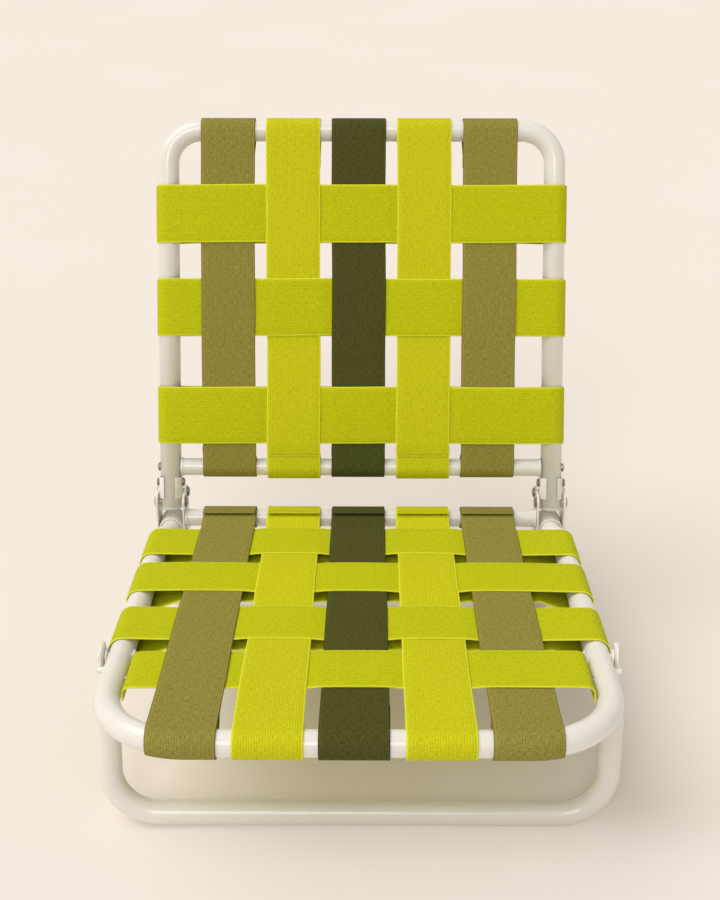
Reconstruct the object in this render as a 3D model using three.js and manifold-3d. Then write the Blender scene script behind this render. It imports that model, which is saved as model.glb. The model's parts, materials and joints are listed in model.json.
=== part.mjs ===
// Low folding chair: four bent tube frames, woven webbing, folding back and folding legs.
// Millimetres, +Z up, the sitter faces -Y, the origin is on the ground below the middle.
import * as THREE from "three";
import { mergeVertices } from "three/addons/utils/BufferGeometryUtils.js";
import Module from "manifold-3d";

const wasm = await Module();
wasm.setup();

// Running clearance between neighbouring pieces.
const GAP = 0.3;

// Round tube of the frames and the thinner crossbars.
const TUBE_R = 12.5;
const BAR_R = 10;
const WALL = 1.5;
const SEAT_BEND = 80;
const BACK_BEND = 38;
const LEG_BEND = 48;
const BORE_OVER = 1;
const TUBE_SIDES = 16;
const SEAT_BEND_STEPS = 8;
const BEND_STEPS = 5;

// Seat: the rails slope down to the rear, and the rail line passes through the front tube's centre.
// They are wider apart than the back, and step in to its width just ahead of the hinge.
const BACK_HALF = 223;
const SEAT_WIDER = 8;
const SEAT_HALF = BACK_HALF + SEAT_WIDER;
const STEP_REAR = 18;
const STEP_FRONT = 41.5;
const SEAT_DEPTH = 456;
const SEAT_TILT = THREE.MathUtils.degToRad(5);
const SEAT_FRONT_HEIGHT = 193;
const RAIL_TAIL = 18;

// Back: leans from the seat's normal, turning on pivots above the rails.
const BACK_LEAN = THREE.MathUtils.degToRad(17.2);
const BACK_HEIGHT = 430;
const PIVOT_RISE = 30;
const UPRIGHT_END = 6;
const BACK_BAR_RISE = 41;

// Legs: the front leg's tabs hang outside the rails, the rear leg is in line with the back.
const FRONT_LEG_AT = 0.325 * SEAT_DEPTH;
const FRONT_LEG_LEAN = THREE.MathUtils.degToRad(10.3);
const REAR_LEG_LEAN = BACK_LEAN - SEAT_TILT;
const LEG_TAB_T = 5;
const LEG_TAB_R = 15;
const LEG_TAB_DROP = 36;
const LEG_TAPER = 30;
const LEG_OUT = 16.5;
const VENT_R = 3;

// Webbing.
const STRAP_T = 1.6;
const LONG_W = 62;
const CROSS_W = 66;
const PITCH = 0.337 * BACK_HALF;
const WEAVE_SHIFT = -3;
const LIFT = (STRAP_T + GAP) / 2;
const EDGE = 2;
const WRAP_STEP = THREE.MathUtils.degToRad(18);
const TAIL_MEET = 2.2;
const TAIL_START = 0.65;
const TAIL_STOP = 0.93;
const LOOP_DEPTH = 12;
const LOOP_REACH = 42;
const TAB_OFF = 1.2;
const TAB_TOP = 7.5;
const TAB_BOTTOM = -1.5;
const TAB_TURN = 1.2;
const TAB_SHOULDER = 4;
const TAB_REACH = 9;
const SEAT_CROSS_AT = [0.836, 0.64, 0.419, 0.224].map((k) => k * SEAT_DEPTH);
const BACK_CROSS_AT = [0.777, 0.528, 0.238].map((k) => k * BACK_HEIGHT);

// Which cross strap runs over (1) or under (-1) each long strap, left to right.
const SEAT_OVER = [
  [-1, 1, -1, 1, -1],
  [1, -1, 1, -1, 1],
  [-1, 1, -1, 1, -1],
  [-1, -1, 1, -1, 1],
];
const BACK_OVER = [
  [1, -1, 1, -1, 1],
  [-1, 1, -1, 1, -1],
  [1, -1, 1, -1, 1],
];

// Hinge hardware.
const SLEEVE_T = 1.2;
const SLEEVE_R = TUBE_R + GAP + SLEEVE_T;
const CAP_END = 3;
const CAP_DOME = 5;
const RAIL_CAP_LENGTH = 36;
const LEG_CAP_LENGTH = 38;
const PLATE_T = 2.5;
const PLATE_LOBE_R = 12;
const PLATE_EAR_R = 8;
const RIVET_R = 3;
const BOLT_R = 4;
const HEAD_T = 2.2;
const HEAD_CHAMFER = 1;
const RIVET_HEAD_R = 5;
const BOLT_HEAD_R = 7;
const WASHER_R = 8;
const STOP_R = 4;
const STOP_HEAD_R = 6;
const STOP_UP = 10;
const LEG_STOP_R = 3;
const LEG_STOP_DROP = 6;
const SCREW_R = 2.5;
const SCREW_LENGTH = 9;
const SCREW_RISE = 3;
const BRACKET_TOP = 29;
const BRACKET_RIVET_RISE = 23;
const BRACKET_SLOT = THREE.MathUtils.degToRad(29.5);
const BRACKET_NOTCH = 4;
const SEAT_BAR_BACK = -4;
const SEAT_BAR_RISE = 11;
const RIVET_AHEAD = -9;
const RIVET_DROP = 6;
const RIVET_BEHIND = 10;
const PLUG_STEM = 10;
const PLUG_NOSE = 4;
const PLUG_NOSE_R = 8;
const PLUG_RIM = 1;
const ROUND_SIDES = 10;

function finish(color, roughness, metalness) {
  return new THREE.MeshStandardMaterial({ color, roughness, metalness });
}
const PAINT = finish(0xece7de, 0.42, 0.1);
const STEEL = finish(0xc9c6c0, 0.35, 0.9);
const PLASTIC = finish(0xe4dfd6, 0.6, 0);
const LIME = finish(0xbcc11a, 0.85, 0);
const OLIVE = finish(0x8d8438, 0.85, 0);
const GREEN = finish(0x434a20, 0.85, 0);
const LONG_COLOURS = [OLIVE, LIME, GREEN, LIME, OLIVE];

// Solids.
function solid(geometry) {
  const bare = geometry.index ? geometry.toNonIndexed() : geometry.clone();
  bare.deleteAttribute("normal");
  bare.deleteAttribute("uv");
  const merged = mergeVertices(bare, 1e-3);
  const triVerts = new Uint32Array(merged.index.array);
  const vertProperties = merged.attributes.position.array;
  return new wasm.Manifold(new wasm.Mesh({ numProp: 3, vertProperties, triVerts }));
}

function geometryOf(body) {
  const mesh = body.getMesh();
  const geometry = new THREE.BufferGeometry();
  const points = new THREE.BufferAttribute(new Float32Array(mesh.vertProperties), 3);
  geometry.setAttribute("position", points);
  geometry.setIndex(new THREE.BufferAttribute(new Uint32Array(mesh.triVerts), 1));
  return geometry;
}

function add(parent, name, geometry, material) {
  const mesh = new THREE.Mesh(geometry, material);
  mesh.name = name;
  parent.add(mesh);
}

function shapeOf(points, holes = []) {
  const shape = new THREE.Shape(points);
  shape.holes = holes.map((hole) => new THREE.Path(hole));
  return shape;
}

function arc(cx, cy, r, from, to, steps) {
  const points = [];
  for (let i = 0; i <= steps; i += 1) {
    const a = from + ((to - from) * i) / steps;
    points.push(new THREE.Vector2(cx + r * Math.cos(a), cy + r * Math.sin(a)));
  }
  return points;
}

function circle(cx, cy, r, sides = ROUND_SIDES) {
  return arc(cx, cy, r, 0, 2 * Math.PI, sides).slice(0, sides);
}

function extruded(shape, from, to, x, y, z) {
  const geometry = new THREE.ExtrudeGeometry(shape, { depth: to - from, bevelEnabled: false, steps: 1 });
  geometry.translate(0, 0, from);
  return geometry.applyMatrix4(new THREE.Matrix4().makeBasis(x, y, z));
}

const X = new THREE.Vector3(1, 0, 0);
const Y = new THREE.Vector3(0, 1, 0);
const Z = new THREE.Vector3(0, 0, 1);
const MINUS_Y = new THREE.Vector3(0, -1, 0);
const MINUS_Z = new THREE.Vector3(0, 0, -1);

// A shape drawn in (y, z), filling x from one value to another.
function acrossX(shape, from, to) {
  return extruded(shape, Math.min(from, to), Math.max(from, to), Y, Z, X);
}

// A turned piece along X: pairs of x and radius, from one end on the axis to the other.
function turnedX(profile, y, z, sign = 1) {
  const points = profile.map(([x, r]) => new THREE.Vector2(r, sign * x));
  const ordered = points[0].y > points[points.length - 1].y ? points.reverse() : points;
  const geometry = new THREE.LatheGeometry(ordered, ROUND_SIDES);
  geometry.rotateZ(-Math.PI / 2);
  return geometry.translate(0, y, z);
}

function drill(body, y, z, r, from, to) {
  return body.subtract(solid(acrossX(shapeOf(circle(y, z, r)), from, to)));
}

// Bent tubes: a path through listed stations keeps the straights to one step each.
class Stations extends THREE.Curve {
  constructor(points) {
    super();
    this.points = points;
    this.last = points.length - 1;
  }

  getPoint(t) {
    return this.points[Math.round(t * this.last)].clone();
  }

  getPointAt(t) {
    return this.getPoint(t);
  }

  getTangentAt(t) {
    const i = Math.round(t * this.last);
    const before = this.points[Math.max(i - 1, 0)];
    const after = this.points[Math.min(i + 1, this.last)];
    return after.clone().sub(before).normalize();
  }
}

function tube(points, radius, turn = 0) {
  const half = Math.PI / TUBE_SIDES;
  const ring = arc(0, 0, radius, half + turn, half + turn + 2 * Math.PI, TUBE_SIDES);
  const section = shapeOf(ring.slice(0, TUBE_SIDES));
  const extrudePath = new Stations(points);
  const geometry = new THREE.ExtrudeGeometry(section, { steps: extrudePath.last, extrudePath });
  return geometry;
}

// A U in (x, t): its crosspiece at t = 0 and its arms at +-half. Each station of the arms, from the far
// end, is a t and how far the arm is set in there.
function uPath(half, arms, place, bendR, steps = BEND_STEPS) {
  const corner = half - bendR;
  const left = arms.map(([t, inset]) => [inset - half, t]);
  const bend = arc(-corner, bendR, bendR, Math.PI, 1.5 * Math.PI, steps).map((p) => [p.x, p.y]);
  const firstHalf = left.concat(bend);
  const secondHalf = firstHalf.map(([x, t]) => [-x, t]).reverse();
  return firstHalf.concat(secondHalf).map(([x, t]) => place(x, t));
}

function hollowU(half, arms, place, turn, ...bend) {
  const [[end, inset], ...others] = arms;
  const longer = [[end + BORE_OVER, inset], ...others];
  const outer = solid(tube(uPath(half, arms, place, ...bend), TUBE_R, turn));
  const inner = solid(tube(uPath(half, longer, place, ...bend), TUBE_R - WALL, turn));
  return outer.subtract(inner);
}

function hollowBar(halfLength, y, z) {
  const wallRing = shapeOf(circle(y, z, BAR_R, TUBE_SIDES), [circle(y, z, BAR_R - WALL, TUBE_SIDES)]);
  return acrossX(wallRing, -halfLength, halfLength);
}

// Webbing: a band of even thickness along a line of points.
function offsets(points, distance, closed) {
  const count = points.length;
  return points.map((p, i) => {
    const before = closed ? points[(i + count - 1) % count] : points[Math.max(i - 1, 0)];
    const after = closed ? points[(i + 1) % count] : points[Math.min(i + 1, count - 1)];
    const a = p.clone().sub(before).normalize();
    const b = after.clone().sub(p).normalize();
    const along = a.clone().add(b).normalize();
    const reach = Math.max(along.dot(b.lengthSq() > 0 ? b : a), Math.SQRT1_2);
    return new THREE.Vector2(p.x - (along.y * distance) / reach, p.y + (along.x * distance) / reach);
  });
}

function band(points) {
  const over = offsets(points, STRAP_T / 2, false);
  const under = offsets(points, -STRAP_T / 2, false);
  return shapeOf(under.concat(over.reverse()));
}

function loop(points) {
  const inner = offsets(points, -STRAP_T / 2, true);
  return shapeOf(offsets(points, STRAP_T / 2, true), [inner.reverse()]);
}

const LONG_AT = [-2, -1, 0, 1, 2].map((k) => k * PITCH + WEAVE_SHIFT);
const FACE = TUBE_R + GAP + STRAP_T / 2;
const BAR_FACE = BAR_R + GAP + STRAP_T / 2;

// The flats of a woven run: two points for each crossing, raised or lowered by half a strap.
function wovenRun(crossings, width, signs) {
  const flats = crossings.map((at, i) => {
    const level = FACE + signs[i] * LIFT;
    const reach = width / 2 + EDGE;
    return [new THREE.Vector2(at - reach, level), new THREE.Vector2(at + reach, level)];
  });
  return flats.flat();
}

// The wrap of a strap's end round a tube, from where the run leaves it to its sewn tail under the run.
function wrap(centre, r, runEnd, hand) {
  const away = runEnd.clone().sub(centre);
  const start = away.angle() + hand * Math.acos(r / away.length());
  const [first] = arc(centre.x, centre.y, r, start, start, 1);
  const run = runEnd.clone().sub(first);
  const length = run.length();
  run.normalize();
  const under = new THREE.Vector2(-run.y, run.x).multiplyScalar(hand * (STRAP_T + GAP));
  const meet = Math.min(TAIL_MEET * r, TAIL_START * length);
  const stop = Math.min(meet + r, TAIL_STOP * length);
  const tail = [meet, stop].map((d) => first.clone().addScaledVector(run, d).sub(under));
  const chord = tail[0].clone().sub(centre);
  const leave = chord.angle() - hand * Math.acos(r / chord.length());
  const sweep = THREE.MathUtils.euclideanModulo(hand * (leave - start), 2 * Math.PI);
  const turn = arc(centre.x, centre.y, r, start, start + hand * sweep, Math.ceil(sweep / WRAP_STEP));
  return turn.concat(tail);
}

// A long strap in (along, out): wrapped round a tube at each end, woven between.
function longStrap(startTube, startR, endTube, endR, crossings, signs) {
  const run = wovenRun(crossings, CROSS_W, signs);
  const first = wrap(startTube, startR, run[0], 1).reverse();
  const last = wrap(endTube, endR, run[run.length - 1], -1);
  return band(first.concat(run, last));
}

// A cross strap in (x, out): an endless loop round both side tubes, woven on the sitting side. Its other
// layer is drawn up towards the weave, from where it leaves the tubes.
function crossLoop(half, signs) {
  const run = wovenRun(LONG_AT, LONG_W, signs);
  const level = FACE - LOOP_DEPTH;
  const inner = new THREE.Vector2(half - LOOP_REACH, level);
  const slope = Math.acos(FACE / Math.hypot(LOOP_REACH, level)) - Math.atan2(level, LOOP_REACH);
  const leave = slope - Math.PI;
  const steps = Math.round((Math.PI / 2 - leave) / WRAP_STEP);
  const right = arc(half, 0, FACE, Math.PI / 2, leave, steps);
  const left = arc(-half, 0, FACE, Math.PI - leave, Math.PI / 2, steps);
  return loop(left.concat(run, right, [inner, new THREE.Vector2(-inner.x, level)]));
}

// The front cross strap of the seat ends in tabs turned down the rails' inner sides and screwed there.
const TAB_X = SEAT_HALF - FACE - TAB_OFF;
function tabEnd(level, sign) {
  const points = [
    [TAB_X, TAB_BOTTOM],
    [TAB_X, TAB_TOP],
    [TAB_X - TAB_TURN, (TAB_TOP + level) / 2],
    [TAB_X - TAB_SHOULDER, level - EDGE / 2],
    [TAB_X - TAB_REACH, level],
  ];
  return points.map(([x, z]) => new THREE.Vector2(sign * x, z));
}

function tabStrap(signs) {
  const run = wovenRun(LONG_AT, LONG_W, signs);
  const left = tabEnd(run[0].y, -1);
  const right = tabEnd(run[run.length - 1].y, 1).reverse();
  return band(left.concat(run, right));
}

// The outer long straps lie on the bends of the front tube. At x, its facets are set back by the first
// number, and their section is longer by the second.
const BEND_STEP = Math.PI / 2 / SEAT_BEND_STEPS;
const FRONT_FLAT = SEAT_HALF - SEAT_BEND;
function bendRing(k) {
  return [SEAT_BEND * Math.sin(k * BEND_STEP), SEAT_BEND * (1 - Math.cos(k * BEND_STEP))];
}

function frontBend(x) {
  const past = Math.abs(x) - FRONT_FLAT;
  if (past < 0) {
    return [0, 1];
  }
  let k = 0;
  while (bendRing(k + 1)[0] < past + GAP) {
    k += 1;
  }
  const [from, setFrom] = bendRing(k);
  const [to, setTo] = bendRing(k + 1);
  const set = THREE.MathUtils.mapLinear(past, from, to, setFrom, setTo);
  return [set, 1 / Math.cos((k + 0.5) * BEND_STEP)];
}

// A seat strap between two values of x, cut at the bend's facets and moved with them round the front tube.
function frontStrap(shape, from, to, firstCrossing) {
  const rings = Array.from({ length: SEAT_BEND_STEPS }, (_, k) => FRONT_FLAT + bendRing(k)[0]);
  const cuts = [...rings.map((x) => -x), ...rings].filter((x) => x > from + GAP && x < to - GAP);
  const slices = [from, ...cuts.sort((a, b) => a - b), to];
  const steps = slices.length - 1;
  const geometry = new THREE.ExtrudeGeometry(shape, { depth: steps, bevelEnabled: false, steps });
  const points = geometry.attributes.position;
  for (let i = 0; i < points.count; i += 1) {
    const x = slices[Math.round(points.getZ(i))];
    const along = points.getX(i);
    const [set, stretch] = frontBend(x);
    const hold = 1 - THREE.MathUtils.smoothstep(along, FACE, firstCrossing);
    points.setX(i, along + hold * (set + along * (stretch - 1)));
    points.setZ(i, x);
  }
  return geometry.applyMatrix4(new THREE.Matrix4().makeBasis(Y, Z, X));
}

// Seat group: origin at the front tube's centre, Y back along the rails, Z square to them.
const chair = new THREE.Group();
const seat = new THREE.Group();
seat.position.set(0, 0, SEAT_FRONT_HEIGHT);
seat.rotation.x = -SEAT_TILT;
chair.add(seat);
seat.updateMatrixWorld(true);

function seatPoint(y, z) {
  return seat.localToWorld(new THREE.Vector3(0, y, z));
}

const RAIL_END = SEAT_DEPTH + RAIL_TAIL;
const PLATE_IN = SLEEVE_R + GAP;
const PLATE_OUT = PLATE_IN + PLATE_T;
const HEAD_IN = PLATE_OUT + GAP;
const HEAD_OUT = HEAD_IN + HEAD_T;
const STOP_AWAY = SLEEVE_R + GAP + STOP_R;
const STOP_BACK = STOP_UP * Math.sin(BACK_LEAN) + STOP_AWAY * Math.cos(BACK_LEAN);
const STOP_RISE = PIVOT_RISE + STOP_UP * Math.cos(BACK_LEAN) - STOP_AWAY * Math.sin(BACK_LEAN);
const SEAT_BAR_AT = SEAT_DEPTH + SEAT_BAR_BACK;
const RIVETS_AT = {
  front: [SEAT_DEPTH + RIVET_AHEAD, -RIVET_DROP],
  rear: [SEAT_DEPTH + RIVET_BEHIND, 0],
};
const LEG_HALF = SEAT_HALF + LEG_OUT;
const TAB_IN = SEAT_HALF + TUBE_R + STRAP_T + 3 * GAP;
const TAB_OUT = TAB_IN + LEG_TAB_T;
const LEG_STOP_Y = -(LEG_TAB_R + GAP + LEG_STOP_R);
const LEG_SWING = SEAT_TILT - FRONT_LEG_LEAN;
const LEG_STOP_AT = FRONT_LEG_AT + LEG_STOP_Y * Math.cos(LEG_SWING) + LEG_STOP_DROP * Math.sin(LEG_SWING);
const LEG_STOP_RISE = LEG_STOP_Y * Math.sin(LEG_SWING) - LEG_STOP_DROP * Math.cos(LEG_SWING);
const TAB_SCREW_AT = SEAT_CROSS_AT[3];

const railStations = [
  [RAIL_END, SEAT_WIDER],
  [SEAT_DEPTH - STEP_REAR, SEAT_WIDER],
  [SEAT_DEPTH - STEP_FRONT, 0],
];
const seatPlace = (x, t) => new THREE.Vector3(x, t, 0);
let seatFrame = hollowU(SEAT_HALF, railStations, seatPlace, 0, SEAT_BEND, SEAT_BEND_STEPS);
for (const [y, z] of Object.values(RIVETS_AT)) {
  seatFrame = drill(seatFrame, y, z, RIVET_R + GAP, -2 * SEAT_HALF, 2 * SEAT_HALF);
}
seatFrame = drill(seatFrame, FRONT_LEG_AT, 0, BOLT_R + GAP, -2 * SEAT_HALF, 2 * SEAT_HALF);
seatFrame = drill(seatFrame, TAB_SCREW_AT, SCREW_RISE, SCREW_R + GAP, -SEAT_HALF, SEAT_HALF);
for (const sign of [-1, 1]) {
  const outside = sign * (SEAT_HALF + 2 * TUBE_R);
  seatFrame = drill(seatFrame, LEG_STOP_AT, LEG_STOP_RISE, LEG_STOP_R + GAP, sign * SEAT_HALF, outside);
}
add(seat, "seat_frame", geometryOf(seatFrame), PAINT);
const barHalf = BACK_HALF - PLATE_OUT - GAP;
add(seat, "seat_rear_crossbar", hollowBar(barHalf, SEAT_BAR_AT, SEAT_BAR_RISE), PAINT);

// Hinge plates: the outline round all their holes.
function hullOutline(circles) {
  const points = circles.flatMap(([y, z, r]) => circle(y, z, r));
  points.sort((a, b) => a.x - b.x || a.y - b.y);
  const turn = (o, a, b) => (a.x - o.x) * (b.y - o.y) - (a.y - o.y) * (b.x - o.x);
  const chain = (list) => {
    const kept = [];
    for (const p of list) {
      while (kept.length > 1 && turn(kept[kept.length - 2], kept[kept.length - 1], p) <= 0) {
        kept.pop();
      }
      kept.push(p);
    }
    return kept.slice(0, -1);
  };
  return chain(points).concat(chain(points.slice().reverse()));
}

const STOPS = [STOP_RISE, -STOP_RISE].map((z) => [SEAT_DEPTH + STOP_BACK, z]);
const PIVOTS = [PIVOT_RISE, -PIVOT_RISE].map((z) => [SEAT_DEPTH, z]);
const plateShape = shapeOf(
  hullOutline([
    [...RIVETS_AT.front, PLATE_EAR_R],
    ...PIVOTS.map(([y, z]) => [y, z, PLATE_LOBE_R]),
    ...STOPS.map(([y, z]) => [y, z, PLATE_EAR_R]),
  ]),
  [
    ...Object.values(RIVETS_AT).map(([y, z]) => circle(y, z, RIVET_R + GAP)),
    ...PIVOTS.map(([y, z]) => circle(y, z, BOLT_R + GAP)),
    ...STOPS.map(([y, z]) => circle(y, z, STOP_R + GAP)),
  ],
);

// A headed pin through both plates of one side.
function throughPin(r, headR, y, z, sign) {
  const inner = BACK_HALF - HEAD_IN;
  const outer = BACK_HALF + HEAD_IN;
  const profile = [
    [inner - HEAD_T, 0],
    [inner - HEAD_T, headR - HEAD_CHAMFER],
    [inner - HEAD_T / 2, headR],
    [inner, headR],
    [inner, r],
    [outer, r],
    [outer, headR],
    [outer + HEAD_T / 2, headR],
    [outer + HEAD_T, headR - HEAD_CHAMFER],
    [outer + HEAD_T, 0],
  ];
  return turnedX(profile, y, z, sign);
}

// A cap over a tube's end: along Y from its open rim to its domed end, the tube's cut end at 0.
function capGeometry(length) {
  const rim = CAP_END - length;
  const profile = [
    [0, GAP],
    [TUBE_R + GAP, GAP],
    [TUBE_R + GAP, rim],
    [SLEEVE_R, rim],
    [SLEEVE_R, CAP_END - CAP_DOME / 2],
    [SLEEVE_R - CAP_DOME / 2, CAP_END],
    [0, CAP_END],
  ];
  return new THREE.LatheGeometry(profile.map(([r, t]) => new THREE.Vector2(r, t)), TUBE_SIDES);
}

const SIDES = [
  ["left", -1],
  ["right", 1],
];
for (const [side, sign] of SIDES) {
  const x = sign * BACK_HALF;
  const inner = acrossX(plateShape, x - sign * PLATE_IN, x - sign * PLATE_OUT);
  add(seat, `hinge_plate_inner_${side}`, inner, PAINT);
  const outer = acrossX(plateShape, x + sign * PLATE_IN, x + sign * PLATE_OUT);
  add(seat, `hinge_plate_outer_${side}`, outer, PAINT);
  let cap = solid(capGeometry(RAIL_CAP_LENGTH).translate(x, RAIL_END, 0));
  for (const [y, z] of Object.values(RIVETS_AT)) {
    cap = drill(cap, y, z, RIVET_R + GAP, -2 * SEAT_HALF, 2 * SEAT_HALF);
  }
  add(seat, `rail_cap_${side}`, geometryOf(cap), PLASTIC);
  for (const [end, at] of Object.entries(RIVETS_AT)) {
    add(seat, `hinge_rivet_${end}_${side}`, throughPin(RIVET_R, RIVET_HEAD_R, ...at, sign), STEEL);
  }
  const [backPivot, legPivot] = PIVOTS;
  add(seat, `back_pivot_bolt_${side}`, throughPin(BOLT_R, BOLT_HEAD_R, ...backPivot, sign), STEEL);
  add(seat, `rear_leg_bolt_${side}`, throughPin(BOLT_R, BOLT_HEAD_R, ...legPivot, sign), STEEL);
  const [backStop, legStop] = STOPS;
  add(seat, `back_stop_pin_${side}`, throughPin(STOP_R, STOP_HEAD_R, ...backStop, sign), STEEL);
  add(seat, `rear_leg_stop_pin_${side}`, throughPin(STOP_R, STOP_HEAD_R, ...legStop, sign), STEEL);

  // Front leg bolt: inner head, rail, washer, leg tab, outer head.
  const railIn = SEAT_HALF - TUBE_R - GAP;
  const railOut = SEAT_HALF + TUBE_R + GAP;
  const legBolt = [
    [railIn - HEAD_T, 0],
    [railIn - HEAD_T, BOLT_HEAD_R - HEAD_CHAMFER],
    [railIn, BOLT_HEAD_R],
    [railIn, BOLT_R],
    [railOut, BOLT_R],
    [railOut, WASHER_R],
    [TAB_IN - GAP, WASHER_R],
    [TAB_IN - GAP, BOLT_R],
    [TAB_OUT + GAP, BOLT_R],
    [TAB_OUT + GAP, BOLT_HEAD_R],
    [TAB_OUT + GAP + HEAD_T, BOLT_HEAD_R - HEAD_CHAMFER],
    [TAB_OUT + GAP + HEAD_T, 0],
  ];
  add(seat, `front_leg_bolt_${side}`, turnedX(legBolt, FRONT_LEG_AT, 0, sign), STEEL);
  const legStopPin = [
    [SEAT_HALF + TUBE_R / 2, 0],
    [SEAT_HALF + TUBE_R / 2, LEG_STOP_R],
    [TAB_OUT, LEG_STOP_R],
    [TAB_OUT, 0],
  ];
  add(seat, `front_leg_stop_pin_${side}`, turnedX(legStopPin, LEG_STOP_AT, LEG_STOP_RISE, sign), STEEL);
  const tabFace = TAB_X - STRAP_T / 2 - GAP;
  const screw = [
    [tabFace - HEAD_T, 0],
    [tabFace - HEAD_T, RIVET_HEAD_R - HEAD_CHAMFER],
    [tabFace, RIVET_HEAD_R],
    [tabFace, SCREW_R],
    [tabFace + SCREW_LENGTH, SCREW_R],
    [tabFace + SCREW_LENGTH, 0],
  ];
  add(seat, `strap_screw_${side}`, turnedX(screw, TAB_SCREW_AT, SCREW_RISE, sign), STEEL);
}

const FRONT_TUBE = new THREE.Vector2(0, 0);
const REAR_BAR = new THREE.Vector2(SEAT_BAR_AT, SEAT_BAR_RISE);
LONG_AT.forEach((x, j) => {
  const order = SEAT_CROSS_AT.map((at, i) => [at, -SEAT_OVER[i][j]]).reverse();
  const crossings = order.map(([at]) => at);
  const signs = order.map(([, over]) => over);
  const shape = longStrap(FRONT_TUBE, FACE, REAR_BAR, BAR_FACE, crossings, signs);
  const strap = frontStrap(shape, x - LONG_W / 2, x + LONG_W / 2, crossings[0] - CROSS_W / 2 - EDGE);
  add(seat, `seat_long_strap_${j + 1}`, strap, LONG_COLOURS[j]);
});
SEAT_CROSS_AT.forEach((y, i) => {
  const tabbed = i === SEAT_CROSS_AT.length - 1;
  const shape = tabbed ? tabStrap(SEAT_OVER[i]) : crossLoop(SEAT_HALF, SEAT_OVER[i]);
  let strap = extruded(shape, -CROSS_W / 2, CROSS_W / 2, X, Z, MINUS_Y).translate(0, y, 0);
  if (tabbed) {
    strap = geometryOf(drill(solid(strap), y, SCREW_RISE, SCREW_R + GAP, -SEAT_HALF, SEAT_HALF));
  }
  add(seat, `seat_cross_strap_${i + 1}`, strap, LIME);
});

// Back group: origin on the pivot line, Z up along the uprights, the sitter on the -Y side.
const back = new THREE.Group();
back.position.copy(seatPoint(SEAT_DEPTH, PIVOT_RISE));
back.rotation.x = -SEAT_TILT - BACK_LEAN;
chair.add(back);

const uprightArm = BACK_HEIGHT + UPRIGHT_END;
const backPlace = (x, t) => new THREE.Vector3(x, 0, BACK_HEIGHT - t);
let backFrame = hollowU(BACK_HALF, [[uprightArm, 0]], backPlace, 0, BACK_BEND);
const backHoles = [
  [0, BOLT_R],
  [BRACKET_RIVET_RISE, RIVET_R],
  [BACK_BAR_RISE, RIVET_R],
];
for (const [z, r] of backHoles) {
  backFrame = drill(backFrame, 0, z, r + GAP, -2 * BACK_HALF, 2 * BACK_HALF);
}
add(back, "back_frame", geometryOf(backFrame), PAINT);
let backBar = solid(hollowBar(BACK_HALF - TUBE_R / 2, 0, BACK_BAR_RISE));
for (const [, sign] of SIDES) {
  const cope = shapeOf(circle(sign * BACK_HALF, 0, TUBE_R + GAP, 2 * TUBE_SIDES));
  backBar = backBar.subtract(solid(extruded(cope, 0, 2 * BACK_BAR_RISE, X, Y, Z)));
}
add(back, "back_crossbar", geometryOf(backBar), PAINT);

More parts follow.
